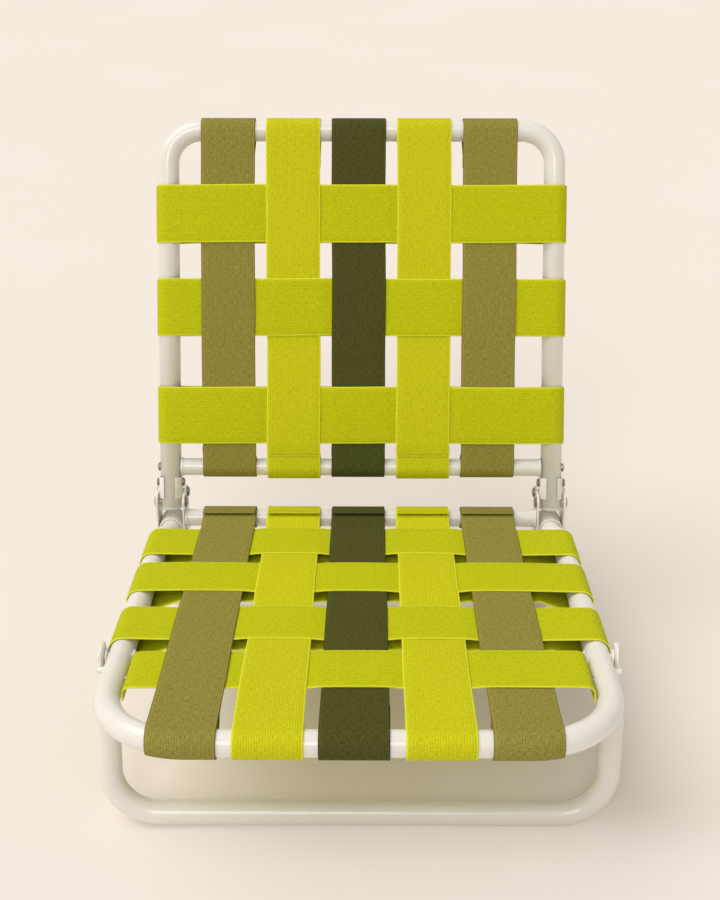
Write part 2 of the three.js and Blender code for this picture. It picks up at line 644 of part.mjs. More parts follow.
const bracketShape = shapeOf([
  ...arc(0, 0, SLEEVE_R, -Math.PI / 2 + BRACKET_SLOT, 1.5 * Math.PI - BRACKET_SLOT, TUBE_SIDES),
  ...arc(0, 0, TUBE_R + GAP, 1.5 * Math.PI - BRACKET_SLOT, -Math.PI / 2 + BRACKET_SLOT, TUBE_SIDES),
]);
const plugProfile = [
  [0, -UPRIGHT_END - PLUG_NOSE],
  [PLUG_NOSE_R, -UPRIGHT_END - PLUG_NOSE],
  [TUBE_R, -UPRIGHT_END - GAP - PLUG_RIM],
  [TUBE_R, -UPRIGHT_END - GAP],
  [TUBE_R - WALL - 2 * GAP, -UPRIGHT_END - GAP],
  [TUBE_R - WALL - 2 * GAP, PLUG_STEM],
  [0, PLUG_STEM],
].map(([r, z]) => new THREE.Vector2(r, z));
for (const [side, sign] of SIDES) {
  const x = sign * BACK_HALF;
  let bracket = solid(extruded(bracketShape, -UPRIGHT_END, BRACKET_TOP, X, Y, Z));
  const notch = new THREE.BoxGeometry(4 * TUBE_R, 2 * TUBE_R, 4 * TUBE_R);
  notch.translate(0, -TUBE_R - TUBE_R / 3, BRACKET_NOTCH - 2 * TUBE_R);
  bracket = bracket.subtract(solid(notch));
  bracket = drill(bracket, 0, 0, BOLT_R + GAP, -2 * TUBE_R, 2 * TUBE_R);
  bracket = drill(bracket, 0, BRACKET_RIVET_RISE, RIVET_R + GAP, -2 * TUBE_R, 2 * TUBE_R);
  add(back, `back_bracket_${side}`, geometryOf(bracket).translate(x, 0, 0), PAINT);

  const faceIn = BACK_HALF - SLEEVE_R - GAP;
  const faceOut = BACK_HALF + SLEEVE_R + GAP;
  const bracketRivet = [
    [faceIn - HEAD_T, 0],
    [faceIn - HEAD_T, RIVET_HEAD_R - HEAD_CHAMFER],
    [faceIn, RIVET_HEAD_R],
    [faceIn, RIVET_R],
    [faceOut, RIVET_R],
    [faceOut, RIVET_HEAD_R],
    [faceOut + HEAD_T, RIVET_HEAD_R - HEAD_CHAMFER],
    [faceOut + HEAD_T, 0],
  ];
  add(back, `bracket_rivet_${side}`, turnedX(bracketRivet, 0, BRACKET_RIVET_RISE, sign), STEEL);
  const boltFace = BACK_HALF + TUBE_R + GAP;
  const barBolt = [
    [BACK_HALF - 2 * TUBE_R, 0],
    [BACK_HALF - 2 * TUBE_R, RIVET_R],
    [boltFace, RIVET_R],
    [boltFace, RIVET_HEAD_R],
    [boltFace + HEAD_T, RIVET_HEAD_R - HEAD_CHAMFER],
    [boltFace + HEAD_T, 0],
  ];
  add(back, `crossbar_bolt_${side}`, turnedX(barBolt, 0, BACK_BAR_RISE, sign), STEEL);
  const plug = new THREE.LatheGeometry(plugProfile, TUBE_SIDES).rotateX(Math.PI / 2).translate(x, 0, 0);
  const drilled = drill(solid(plug), 0, 0, BOLT_R + GAP, -2 * BACK_HALF, 2 * BACK_HALF);
  add(back, `upright_plug_${side}`, geometryOf(drilled), PLASTIC);
}

const BACK_BAR = new THREE.Vector2(BACK_BAR_RISE, 0);
const TOP_TUBE = new THREE.Vector2(BACK_HEIGHT, 0);
LONG_AT.forEach((x, j) => {
  const order = BACK_CROSS_AT.map((at, i) => [at, -BACK_OVER[i][j]]).reverse();
  const crossings = order.map(([at]) => at);
  const signs = order.map(([, over]) => over);
  const shape = longStrap(BACK_BAR, BAR_FACE, TOP_TUBE, FACE, crossings, signs);
  const strap = extruded(shape, x - LONG_W / 2, x + LONG_W / 2, Z, MINUS_Y, X);
  add(back, `back_long_strap_${j + 1}`, strap, LONG_COLOURS[j]);
});
BACK_CROSS_AT.forEach((z, i) => {
  const strap = extruded(crossLoop(BACK_HALF, BACK_OVER[i]), -CROSS_W / 2, CROSS_W / 2, X, MINUS_Y, MINUS_Z);
  add(back, `back_cross_strap_${i + 1}`, strap.translate(0, 0, z), LIME);
});

// Legs: origin on their pivot line, Z up along the leg, a flat of the ground bar facing down.
const GROUND_R = TUBE_R * Math.cos(Math.PI / TUBE_SIDES);
function legGroup(pivot, lean) {
  const group = new THREE.Group();
  group.position.copy(pivot);
  group.rotation.x = lean;
  chair.add(group);
  return group;
}

// The front leg's arms end in flattened tabs: pressed thin, wider, with round tops.
function flattened(geometry) {
  const points = geometry.attributes.position;
  for (let i = 0; i < points.count; i += 1) {
    const x = points.getX(i);
    const z = points.getZ(i);
    const press = 1 - THREE.MathUtils.smoothstep(-z, LEG_TAB_DROP, LEG_TAB_DROP + LEG_TAPER);
    const across = (Math.abs(x) - LEG_HALF + TUBE_R) / (2 * TUBE_R);
    const pressed = TAB_IN + across * LEG_TAB_T;
    const crown = Math.sqrt(1 - Math.min(Math.max(z, 0) / LEG_TAB_R, 1) ** 2);
    const wide = THREE.MathUtils.lerp(1, (LEG_TAB_R / TUBE_R) * crown, press);
    points.setX(i, Math.sign(x) * THREE.MathUtils.lerp(Math.abs(x), pressed, press));
    points.setY(i, points.getY(i) * wide);
  }
  return geometry;
}

const frontPivot = seatPoint(FRONT_LEG_AT, 0);
const frontLength = (frontPivot.z - GROUND_R) / Math.cos(FRONT_LEG_LEAN);
const frontLeg = legGroup(frontPivot, -FRONT_LEG_LEAN);
const frontPlace = (x, t) => new THREE.Vector3(x, 0, t - frontLength);
const taperEnd = frontLength - LEG_TAB_DROP - LEG_TAPER;
const tabStations = [
  ...[0.98, 0.85, 0.5, 0].map((k) => frontLength + k * LEG_TAB_R),
  ...[0, 0.25, 0.5, 0.75, 1].map((k) => frontLength - LEG_TAB_DROP - k * LEG_TAPER),
].map((t) => [t, 0]);
const frontPath = uPath(LEG_HALF, tabStations, frontPlace, LEG_BEND);
let frontTube = solid(flattened(tube(frontPath, TUBE_R, FRONT_LEG_LEAN)));
const borePath = uPath(LEG_HALF, [[taperEnd, 0]], frontPlace, LEG_BEND);
const frontBore = solid(tube(borePath, TUBE_R - WALL, FRONT_LEG_LEAN));
frontTube = frontTube.subtract(frontBore);
frontTube = drill(frontTube, 0, 0, BOLT_R + GAP, -2 * LEG_HALF, 2 * LEG_HALF);
frontTube = drill(frontTube, 0, taperEnd - frontLength - 2 * VENT_R, VENT_R, -LEG_HALF, LEG_HALF);
add(frontLeg, "front_leg_frame", geometryOf(frontTube), PAINT);

const rearPivot = seatPoint(SEAT_DEPTH, -PIVOT_RISE);
const rearLength = (rearPivot.z - GROUND_R) / Math.cos(REAR_LEG_LEAN);
const rearLeg = legGroup(rearPivot, REAR_LEG_LEAN);
const rearPlace = (x, t) => new THREE.Vector3(x, 0, t - rearLength);
let rearTube = hollowU(BACK_HALF, [[rearLength + CAP_END, 0]], rearPlace, -REAR_LEG_LEAN, LEG_BEND);
rearTube = drill(rearTube, 0, 0, BOLT_R + GAP, -2 * BACK_HALF, 2 * BACK_HALF);
add(rearLeg, "rear_leg_frame", geometryOf(rearTube), PAINT);
for (const [side, sign] of SIDES) {
  const upright = capGeometry(LEG_CAP_LENGTH).rotateX(Math.PI / 2);
  const cap = solid(upright.translate(sign * BACK_HALF, 0, CAP_END));
  const drilled = drill(cap, 0, 0, BOLT_R + GAP, -2 * BACK_HALF, 2 * BACK_HALF);
  add(rearLeg, `rear_leg_cap_${side}`, geometryOf(drilled), PLASTIC);
}

// The part's origin: on the ground, below the middle of its box.
const part = new THREE.Group();
const box = new THREE.Box3().setFromObject(chair, true);
chair.position.set(0, -(box.min.y + box.max.y) / 2, -box.min.z);
part.add(chair);

export default part;
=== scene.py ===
# %% [markdown]
# # A low folding chair with woven webbing
# The chair is four bent tubes with flat webbing woven across the seat and the back. The CAD model is
# the fixed frame: every piece below is made where the CAD says it is, and rides on one of its bodies.

import json
import math

import bmesh
import bpy
from mathutils import Matrix, Vector


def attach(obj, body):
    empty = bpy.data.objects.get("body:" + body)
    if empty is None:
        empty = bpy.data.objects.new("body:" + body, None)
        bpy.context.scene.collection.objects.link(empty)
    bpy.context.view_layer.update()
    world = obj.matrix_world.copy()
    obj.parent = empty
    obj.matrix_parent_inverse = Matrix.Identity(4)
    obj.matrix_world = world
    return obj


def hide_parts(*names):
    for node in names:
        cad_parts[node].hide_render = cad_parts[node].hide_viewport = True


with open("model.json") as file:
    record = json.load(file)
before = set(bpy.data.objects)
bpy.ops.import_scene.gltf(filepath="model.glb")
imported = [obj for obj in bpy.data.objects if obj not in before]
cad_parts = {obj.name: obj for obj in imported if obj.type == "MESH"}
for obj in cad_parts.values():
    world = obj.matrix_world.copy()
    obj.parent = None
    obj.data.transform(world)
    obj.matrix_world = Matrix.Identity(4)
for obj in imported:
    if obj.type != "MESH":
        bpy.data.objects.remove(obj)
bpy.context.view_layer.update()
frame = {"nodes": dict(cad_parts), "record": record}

# %% [markdown]
# ## The four bodies
# Seat, back and the two legs each have their own straight axes, and all the shapes are easiest to state
# there, in millimetres. The hinges of the record give where each body turns; the seat itself starts at
# the middle of its front tube, which lies one seat depth ahead of the back's hinge and below it.

# %% Where each body sits
MM = 0.001
SEAT_DEPTH, PIVOT_RISE = 456, 30
SEAT_TILT, BACK_TILT, FRONT_TILT, REAR_TILT = -5, -22.2, -10.3, 12.2
joint_list = frame["record"]["behaviour"]["joints"]
pivots = {j["child"]: Vector(j["pos_m"]) / MM for j in joint_list}


def placed(origin, degrees):
    return Matrix.Translation(origin) @ Matrix.Rotation(math.radians(degrees), 4, "X")


seat_reach = Matrix.Rotation(math.radians(SEAT_TILT), 3, "X") @ Vector((0, SEAT_DEPTH, PIVOT_RISE))
PLACE = {
    "seat": placed(pivots["back"] - seat_reach, SEAT_TILT),
    "back": placed(pivots["back"], BACK_TILT),
    "front_leg": placed(pivots["front_leg"], FRONT_TILT),
    "rear_leg": placed(pivots["rear_leg"], REAR_TILT),
}
for body, place in PLACE.items():
    print(body, "origin, mm:", [round(c, 2) for c in place.translation])

# %% [markdown]
# ## Camera
# The photograph looks down at the chair from the front. The camera comes from a fit of strap edges and
# tube edges to the picture: about 67 mm on a 36 mm wide sensor, 26 degrees down, almost straight on.

# %% Camera
PHOTO_WIDE, FOCAL_PIXELS, SENSOR = 720, 1333.5, 36
LOOK_DOWN, LOOK_ASIDE = 26.27, 0.321
EYE_AT = Vector((6.8, -1232.6, 932.0))
eye = bpy.data.cameras.new("camera")
eye.sensor_fit = "HORIZONTAL"
eye.sensor_width = SENSOR
eye.lens = SENSOR * FOCAL_PIXELS / PHOTO_WIDE
camera = bpy.data.objects.new("camera", eye)
camera.location = EYE_AT * MM
camera.rotation_euler = (math.radians(90 - LOOK_DOWN), 0, math.radians(LOOK_ASIDE))
bpy.context.collection.objects.link(camera)
bpy.context.scene.camera = camera
print("lens, mm:", round(eye.lens, 2))

# %% [markdown]
# ## Finishes
# A material is a short chain of nodes, so one small function adds a node, its settings and its links, and
# another links a finish's three results to its shader. Colours are written as sRGB codes, matched to
# the photograph, and turned to the linear values that the shader wants.

# %% Node helper and colours
def srgb(code):
    parts = [int(code[i : i + 2], 16) / 255 for i in (1, 3, 5)]
    linear = [c / 12.92 if c <= 0.04045 else ((c + 0.055) / 1.055) ** 2.4 for c in parts]
    return (*linear, 1.0)


def node(tree, kind, links=None, out=0, **settings):
    """Adds one node with its settings and links, and gives back one of its outputs."""
    made = tree.nodes.new(kind)
    for key, value in settings.items():
        setattr(made, key, value)
    for socket, value in (links or {}).items():
        if isinstance(value, bpy.types.NodeSocket):
            tree.links.new(value, made.inputs[socket])
        else:
            made.inputs[socket].default_value = value
    return made.outputs[out]


def new_material(name):
    material = bpy.data.materials.new(name)
    material.use_nodes = True
    return material, material.node_tree


def dressed(tree, colour, rough, relief):
    """Links a finish's colour, roughness and relief to its shader, and gives back the shader."""
    shader = tree.nodes["Principled BSDF"]
    for socket, value in (("Base Color", colour), ("Roughness", rough), ("Normal", relief)):
        tree.links.new(value, shader.inputs[socket])
    return shader


print("#808080 in linear light:", round(srgb("#808080")[0], 3))

# %% [markdown]
# ### Webbing
# The straps are heavy flat webbing in a plain weave: thick yarns run along it as ribs, and picks cross them.
# Two sine waves make it. They follow the strap's own UV, from 0 to 1 across the strap and in millimetres
# along it, so the weave goes round every bend. The real yarns are near 1 mm apart, which is finer than a
# pixel of the photograph, so they are drawn coarser, at 2.3 mm. Two noises of about a yarn's width, drawn
# out five times along and across, make single yarns uneven.

# %% Weave pattern
LONG_W, CROSS_W = 62, 66
WEAVE, SLUB, DRAWN_OUT = 2.3, 20 / 21, 5
RIB_SHARE, PICK_SHARE, PALE_FROM, PALE_TO = 0.26, 0.13, 0.36, 0.64


def strap_place(tree):
    """Where a point is on its strap: across as a share of the width, then across and along in mm."""
    uv = node(tree, "ShaderNodeUVMap", uv_map="strap")
    share, along = node(tree, "ShaderNodeSeparateXYZ", {0: uv}).node.outputs[:2]
    across = node(tree, "ShaderNodeMath", {0: share, 1: LONG_W}, operation="MULTIPLY")
    return share, across, along


def plain_weave(tree, across, along):
    """Ribs along the strap, broken up a little by the picks that cross them; 0.5 on average."""
    turn = 2 * math.pi / WEAVE
    ways = [{0: way, 1: turn} for way in (across, along)]
    angles = [node(tree, "ShaderNodeMath", way, operation="MULTIPLY") for way in ways]
    yarns, picks = [node(tree, "ShaderNodeMath", {0: angle}, operation="SINE") for angle in angles]
    rib = node(tree, "ShaderNodeMath", {0: picks, 1: PICK_SHARE, 2: RIB_SHARE}, operation="MULTIPLY_ADD")
    return node(tree, "ShaderNodeMath", {0: yarns, 1: rib, 2: 0.5}, operation="MULTIPLY_ADD")


def slubs(tree, across, along):
    """Uneven yarns: a noise drawn out along the strap and one across it, half and half."""
    cloth = node(tree, "ShaderNodeCombineXYZ", {0: across, 1: along})
    noises = []
    for squeeze in ((1, 1 / DRAWN_OUT, 1), (1 / DRAWN_OUT, 1, 1)):
        drawn = node(tree, "ShaderNodeVectorMath", {0: cloth, 1: squeeze}, operation="MULTIPLY")
        noises.append(node(tree, "ShaderNodeTexNoise", {"Vector": drawn, "Scale": 1 / SLUB, "Detail": 1}))
    uneven = node(tree, "ShaderNodeMix", {0: 0.5, 2: noises[0], 3: noises[1]})
    return node(tree, "ShaderNodeMapRange", {0: uneven, 1: PALE_FROM, 2: PALE_TO})


print("ribs across a long strap:", round(LONG_W / WEAVE))

# %% [markdown]
# The colour is built up in layers, as the eye reads a strap: a dye that varies slowly, painted shade in the
# gaps between the ribs, paler worn yarns, the tighter selvedge at both edges, and last a thin painted line
# on the edge itself, a painted highlight on the bright straps and a painted shade line on the dull ones. The
# fuzz of the fibres is a fraction of a millimetre on the real strap, and drawn at 2.4 mm so that it shows.
# Ribs and fuzz also give the relief. The cross straps are a little wider and share all this, so their ribs
# are 6 percent wider too.

# %% Webbing material
DYE_PATCH, FUZZ = 111, 2.38
# The selvedge's pale band and the painted edge line, a painted highlight or shade: where each starts and
# where it is full, in mm from the edge.
SELVEDGE, PAINTED_EDGE_LINE = (2.79, 0.93), (1.49, 0.62)
LEAST_ROUGH, MOST_ROUGH, FUZZ_RISE = 0.68, 0.86, 0.6


def webbing(name, base, deep, pale, dark, painted_edge_line):
    material, tree = new_material(name)
    share, across, along = strap_place(tree)
    weave = plain_weave(tree, across, along)
    place = node(tree, "ShaderNodeTexCoord", out="Object")
    dye = node(tree, "ShaderNodeTexNoise", {"Vector": place, "Scale": 1 / (DYE_PATCH * MM), "Detail": 4})
    fuzz = node(tree, "ShaderNodeTexNoise", {"Vector": place, "Scale": 1 / (FUZZ * MM), "Detail": 3})
    offset = node(tree, "ShaderNodeMath", {0: share, 1: 0.5}, operation="SUBTRACT")
    aside = node(tree, "ShaderNodeMath", {0: offset}, operation="ABSOLUTE")
    bands = [{0: aside, 1: 0.5 - far / LONG_W, 2: 0.5 - close / LONG_W} for far, close in (SELVEDGE, PAINTED_EDGE_LINE)]
    selvedge, rim = [node(tree, "ShaderNodeMapRange", band) for band in bands]
    worn = slubs(tree, across, along)
    # Where a layer shows, how strongly, and its tone: the weave's tone is painted shade between the ribs,
    # and the last layer is a painted edge line, a highlight on bright straps and shade on dull ones.
    layers = [(weave, 0.8, dark), (worn, 0.55, pale), (selvedge, 0.35, pale), (rim, 0.6, painted_edge_line)]
    colour = node(tree, "ShaderNodeMix", {0: dye, 6: srgb(deep), 7: srgb(base)}, 2, data_type="RGBA")
    for where, strength, tone in layers:
        cover = node(tree, "ShaderNodeMath", {0: where, 1: strength}, operation="MULTIPLY")
        colour = node(tree, "ShaderNodeMix", {0: cover, 6: colour, 7: srgb(tone)}, 2, data_type="RGBA")
    rough = node(tree, "ShaderNodeMapRange", {0: fuzz, 3: LEAST_ROUGH, 4: MOST_ROUGH})
    height = node(tree, "ShaderNodeMath", {0: fuzz, 1: FUZZ_RISE, 2: weave}, operation="MULTIPLY_ADD")
    relief = node(tree, "ShaderNodeBump", {"Strength": 0.6, "Distance": 0.5 * MM, "Height": height})
    dressed(tree, colour, rough, relief).inputs["Specular IOR Level"].default_value = 0.12
    return material


# Polypropylene dyed in the mass gives strong, even, matt colours. The fourth colour of each is painted shade
# between its ribs. The last is a painted edge line: a highlight on the two bright ones and a dark shade line
# on the two dull ones.
LIME = webbing("lime_polypropylene_webbing", "#CED206", "#C1C604", "#DDDF20", "#8E9402", "#ECF046")
YELLOW = webbing("yellow_lime_polypropylene_webbing", "#D9D910", "#CDCD0B", "#E5E52A", "#979804", "#ECF046")
OLIVE = webbing("olive_polypropylene_webbing", "#9B923E", "#8E8534", "#B2AA59", "#5C5518", "#5C5518")
GREEN = webbing("dark_green_polypropylene_webbing", "#4E4F1C", "#464718", "#63652F", "#272909", "#272909")
LONG_FINISH = [(OLIVE, "olive_webbing"), (YELLOW, "lime_webbing"), (GREEN, "green_webbing")]
LONG_FINISH += LONG_FINISH[1::-1]
CROSS_FINISH = (LIME, "lime_webbing")
print("webbing materials:", [m.name for m in (LIME, YELLOW, OLIVE, GREEN)])

# %% [markdown]
# ### Painted tube, plated steel, moulded plastic and thread
# The tubes have a smooth warm white paint with a soft sheen; a very low, slow ripple breaks up its
# highlights the way sprayed paint does. The bolts are dull plated steel, the end caps satin plastic in
# the paint's colour, and the hems are sewn in thread of a deeper tone than each strap.

# %% Hard finishes and thread
CLOUD = 71.4


def grained(name, base, deep, rough, grain, ripple, metal=0.0):
    """A finish that varies slowly over a cloud's width, with a fine relief of the grain's size in mm."""
    material, tree = new_material(name)
    place = node(tree, "ShaderNodeTexCoord", out="Object")
    cloud = node(tree, "ShaderNodeTexNoise", {"Vector": place, "Scale": 1 / (CLOUD * MM), "Detail": 5})
    fine = node(tree, "ShaderNodeTexNoise", {"Vector": place, "Scale": 1 / (grain * MM), "Detail": 2})
    colour = node(tree, "ShaderNodeMix", {0: cloud, 6: srgb(deep), 7: srgb(base)}, 2, data_type="RGBA")
    spread = node(tree, "ShaderNodeMapRange", {0: cloud, 3: rough - 0.06, 4: rough + 0.08})
    relief = node(tree, "ShaderNodeBump", {"Strength": ripple, "Distance": 0.2 * MM, "Height": fine})
    dressed(tree, colour, spread, relief).inputs["Metallic"].default_value = metal
    return material


# Sprayed paint: a soft sheen, with highlights that a ripple of about 4 mm breaks up.
PAINT = grained("warm_white_tube_paint", "#EFECE6", "#E8E4DC", 0.16, 3.85, 0.08)
# Zinc plating: a dull grey metal. Its grain, well under 0.1 mm, is drawn at 1.1 mm so that it shows.
STEEL = grained("zinc_plated_steel", "#A19C93", "#746F67", 0.34, 1.11, 0.2, metal=1.0)
# Moulded plastic: a satin skin. The mould's grain, near 0.2 mm, is drawn coarser, at 0.67 mm.
PLASTIC = grained("warm_white_moulded_plastic", "#F0EDE7", "#E8E4DC", 0.5, 0.667, 0.2)
# Twisted thread: matt and deeper in tone than its strap, with a twist of 0.25 mm.
THREAD = {
    YELLOW: grained("lime_sewing_thread", "#8F9410", "#767B08", 0.75, 0.25, 0.4),
    OLIVE: grained("olive_sewing_thread", "#7A7130", "#5E5722", 0.75, 0.25, 0.4),
    GREEN: grained("dark_green_sewing_thread", "#3A411B", "#2A3012", 0.75, 0.25, 0.4),
}
print("hard finishes:", [m.name for m in (PAINT, STEEL, PLASTIC)])

# %% [markdown]
# ## From shape to piece
# Each shape is drawn in its body's own axes in millimetres. One function moves it into the frame, shades it,
# gives it its finish, hangs it on the body that carries it and hides the CAD solids it stands for.

# %% Turn a bmesh into a piece of the chair
def made_piece(name, shape, local, body, material, slot, nodes, sharp=40):
    place = Matrix.Scale(MM, 4) @ PLACE[body] @ local
    bmesh.ops.transform(shape, matrix=place, verts=shape.verts)
    bmesh.ops.recalc_face_normals(shape, faces=shape.faces)
    mesh = bpy.data.meshes.new(name)
    shape.to_mesh(mesh)
    shape.free()
    mesh.shade_smooth()
    mesh.set_sharp_from_angle(angle=math.radians(sharp))
    mesh.materials.append(material)
    piece = bpy.data.objects.new(name, mesh)
    bpy.context.collection.objects.link(piece)
    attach(piece, body)
    if nodes:
        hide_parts(*nodes)
    return piece


print("solids in the frame:", len(frame["nodes"]))

# %% [markdown]
# ## Bent tubes
# The frames are 25 mm steel tube with two 90 degree bends each. A tube bender works on the straight
# tube from one end to the other, and so does the code: a circle is pushed along the first arm, spun
# round the bend, pushed across, spun again and pushed out to the far end. A solidify gives the wall. The
# CAD draws the tube with flats, so the round tube here reaches the middle of the flats and not their edges.

# %% Tube sizes and the bender
TUBE_OUT, WALL, FLATS = 12.5, 1.5, 16
TUBE_R = TUBE_OUT * math.cos(math.pi / FLATS)
ROUND, BEND_STEPS = 32, 12
SEAT_BEND, BACK_BEND, LEG_BEND = 80, 38, 48
BACK_HALF, SEAT_HALF, LEG_HALF = 223, 231, 247.5


def pushed(shape, edges, step):
    made = bmesh.ops.extrude_edge_only(shape, edges=edges)["geom"]
    verts = {v for v in made if isinstance(v, bmesh.types.BMVert)}
    bmesh.ops.translate(shape, verts=list(verts), vec=step)
    return [e for e in made if isinstance(e, bmesh.types.BMEdge) and set(e.verts) <= verts]


def bent(shape, edges, centre):
    verts = {v for e in edges for v in e.verts}
    made = bmesh.ops.spin(
        shape,
        geom=edges + list(verts),
        cent=centre,
        axis=(0, 0, 1),
        angle=math.pi / 2,
        steps=BEND_STEPS,
        use_merge=False,
        use_duplicate=False,
    )
    return [e for e in made["geom_last"] if isinstance(e, bmesh.types.BMEdge)]


def u_tube(half, radius, stations):
    """A U with its crosspiece on X and its arms along +Y. Stations are (y, how far the arm is set in)."""
    shape = bmesh.new()
    stops = [Vector((inset - half, y, 0)) for y, inset in stations] + [Vector((-half, radius, 0))]
    start = Matrix.Translation(stops[0]) @ Matrix.Rotation(math.pi / 2, 4, "X")
    bmesh.ops.create_circle(shape, cap_ends=False, radius=TUBE_R, segments=ROUND, matrix=start)
    ring = shape.edges[:]
    for here, there in zip(stops, stops[1:]):
        ring = pushed(shape, ring, there - here)
    ring = bent(shape, ring, (radius - half, radius, 0))
    ring = pushed(shape, ring, (2 * (half - radius), 0, 0))
    ring = bent(shape, ring, (half - radius, radius, 0))
    back = [Vector((-stop.x, stop.y, 0)) for stop in stops[::-1]]
    for here, there in zip(back, back[1:]):
        ring = pushed(shape, ring, there - here)
    return shape


def walled(piece, thickness, offset):
    wall = piece.modifiers.new("wall", "SOLIDIFY")
    wall.thickness = thickness * MM
    wall.offset = offset
    return piece


print("tube radius at its flats, mm:", round(TUBE_R, 2))

# %% [markdown]
# The seat tube lies flat with its crosspiece at the front; its rails are wider apart than the back and
# step in just ahead of the hinge. The back tube hangs from its top, so its arms run down, and the leg
# tubes stand on their crosspieces, so their arms run up.

# %% Seat, back and rear leg tubes
BACK_HEIGHT, UPRIGHT_END, RAIL_END, CAP_END = 430, 6, 474, 3
rear_length = (pivots["rear_leg"].z - TUBE_R) / math.cos(math.radians(REAR_TILT))
ARMS_DOWN = Matrix.Translation((0, 0, BACK_HEIGHT)) @ Matrix.Rotation(-math.pi / 2, 4, "X")


def arms_up(length):
    return Matrix.Translation((0, 0, -length)) @ Matrix.Rotation(math.pi / 2, 4, "X")


def eased(k):
    return k * k * (3 - 2 * k)


WIDER = SEAT_HALF - BACK_HALF
JOGGLE_AT, JOGGLE_LONG, STOPS = SEAT_DEPTH - 18, 23.5, 6
shares = [k / STOPS for k in range(STOPS + 1)]
joggle = [(JOGGLE_AT - JOGGLE_LONG * k, WIDER * (1 - eased(k))) for k in shares]
rails = u_tube(SEAT_HALF, SEAT_BEND, [(RAIL_END, WIDER), *joggle])
uprights = u_tube(BACK_HALF, BACK_BEND, [(BACK_HEIGHT + UPRIGHT_END, 0)])
rear_arms = u_tube(BACK_HALF, LEG_BEND, [(rear_length + CAP_END, 0)])
tubes = [
    ("seat_tube", rails, Matrix(), "seat", "seat_frame"),
    ("back_tube", uprights, ARMS_DOWN, "back", "back_frame"),
    ("rear_leg_tube", rear_arms, arms_up(rear_length), "rear_leg", "rear_leg_frame"),
]
for name, shape, local, body, solid in tubes:
    tube = made_piece(name, shape, local, body, PAINT, "paint", [solid])
    walled(tube, WALL, -1)
    print(name, "faces:", len(tube.data.polygons))

# %% [markdown]
# ## Front leg
# The front leg is the same bent tube, with the tops of its arms pressed flat into tabs that are bolted to
# the outside of the rails. The press squeezes the round section into a thin, wider one over a short
# length, so the code moves the same rings: thinner across, wider along, and drawn in to a round top. The
# last ring stops just short of the tip, where a ring would have no width, and is closed with one face.

# %% Front leg tube with pressed tabs
TAB_R, TAB_T, TAB_DROP, TAPER, TAB_IN = 15, 5, 36, 30, 246
TIP, PRESS_STEPS = 0.985, 8
front_length = (pivots["front_leg"].z - TUBE_R) / math.cos(math.radians(FRONT_TILT))
crown = [TAB_R * math.sin(math.radians(a)) for a in (70, 55, 40, 25, 10)]
press = [-TAB_DROP - TAPER * k / PRESS_STEPS for k in range(PRESS_STEPS + 1)]
heights = [TIP * TAB_R, *crown, 0, *press]
leg = u_tube(LEG_HALF, LEG_BEND, [(front_length + z, 0) for z in heights])
for v in leg.verts:
    z = v.co.y - front_length
    round_share = eased(min(max((-z - TAB_DROP) / TAPER, 0), 1))
    across = (abs(v.co.x) - LEG_HALF + TUBE_R) / (2 * TUBE_R)
    flat_x = TAB_IN + across * TAB_T
    flat_z = v.co.z * TAB_R / TUBE_R * math.sqrt(1 - min(max(z, 0) / TAB_R, 1) ** 2)
    v.co.x = math.copysign(flat_x + (abs(v.co.x) - flat_x) * round_share, v.co.x)
    v.co.z = flat_z + (v.co.z - flat_z) * round_share
bmesh.ops.holes_fill(leg, edges=[e for e in leg.edges if e.is_boundary], sides=0)
stand = arms_up(front_length)
made_piece("front_leg_tube", leg, stand, "front_leg", PAINT, "paint", ["front_leg_frame"], sharp=50)
print("front leg length, mm:", round(front_length, 1))

# %% [markdown]
# ## Turned pieces
# Crossbars, bolts, rivets, pins and caps are round, as if from a lathe. So one function spins a half profile
# all the way about its axis and merges where it meets itself and where it touches the axis.

# %% The lathe
def turned(profile, steps=32):
    """Spins pairs of (distance along X, radius) about the X axis."""
    shape = bmesh.new()
    verts = [shape.verts.new((x, r, 0)) for x, r in profile]
    edges = [shape.edges.new(pair) for pair in zip(verts, verts[1:])]
    bmesh.ops.spin(
        shape,
        geom=verts + edges,
        cent=(0, 0, 0),
        axis=(1, 0, 0),
        angle=2 * math.pi,
        steps=steps,
        use_merge=True,
        use_duplicate=False,
    )
    bmesh.ops.remove_doubles(shape, verts=shape.verts, dist=0.001)
    return shape


disc = turned([(0, 0), (0, 5), (2, 5), (2, 0)])
print("faces of a turned disc:", len(disc.faces))
disc.free()

# %% [markdown]
# ## Crossbars
# A 20 mm bar joins the two rails behind the seat, between the inner hinge plates, and another the uprights
# above the hinge. Both show a narrow collar at each end, which is part of the same profile.

# %% Crossbars with collars
GAP, SLEEVE_R, PLATE_T = 0.3, 14, 2.5
PLATE_IN = SLEEVE_R + GAP
HEAD_AT = PLATE_IN + PLATE_T + GAP
BAR_R, BAR_RISE, SEAT_BAR_AT, SEAT_BAR_RISE = 10, 41, 452, 11
COLLAR, COLLAR_R, RIM_EASE, FOOT_EASE, BAR_CLEAR = 3, 11, 0.6, 0.4, 0.2


def bar_profile(end):
    foot = end - COLLAR
    half = [(end, 0), (end, COLLAR_R - RIM_EASE), (end - RIM_EASE, COLLAR_R)]
    half += [(foot + FOOT_EASE, COLLAR_R), (foot, COLLAR_R - FOOT_EASE), (foot, BAR_R)]
    return half + [(-x, r) for x, r in half[::-1]]


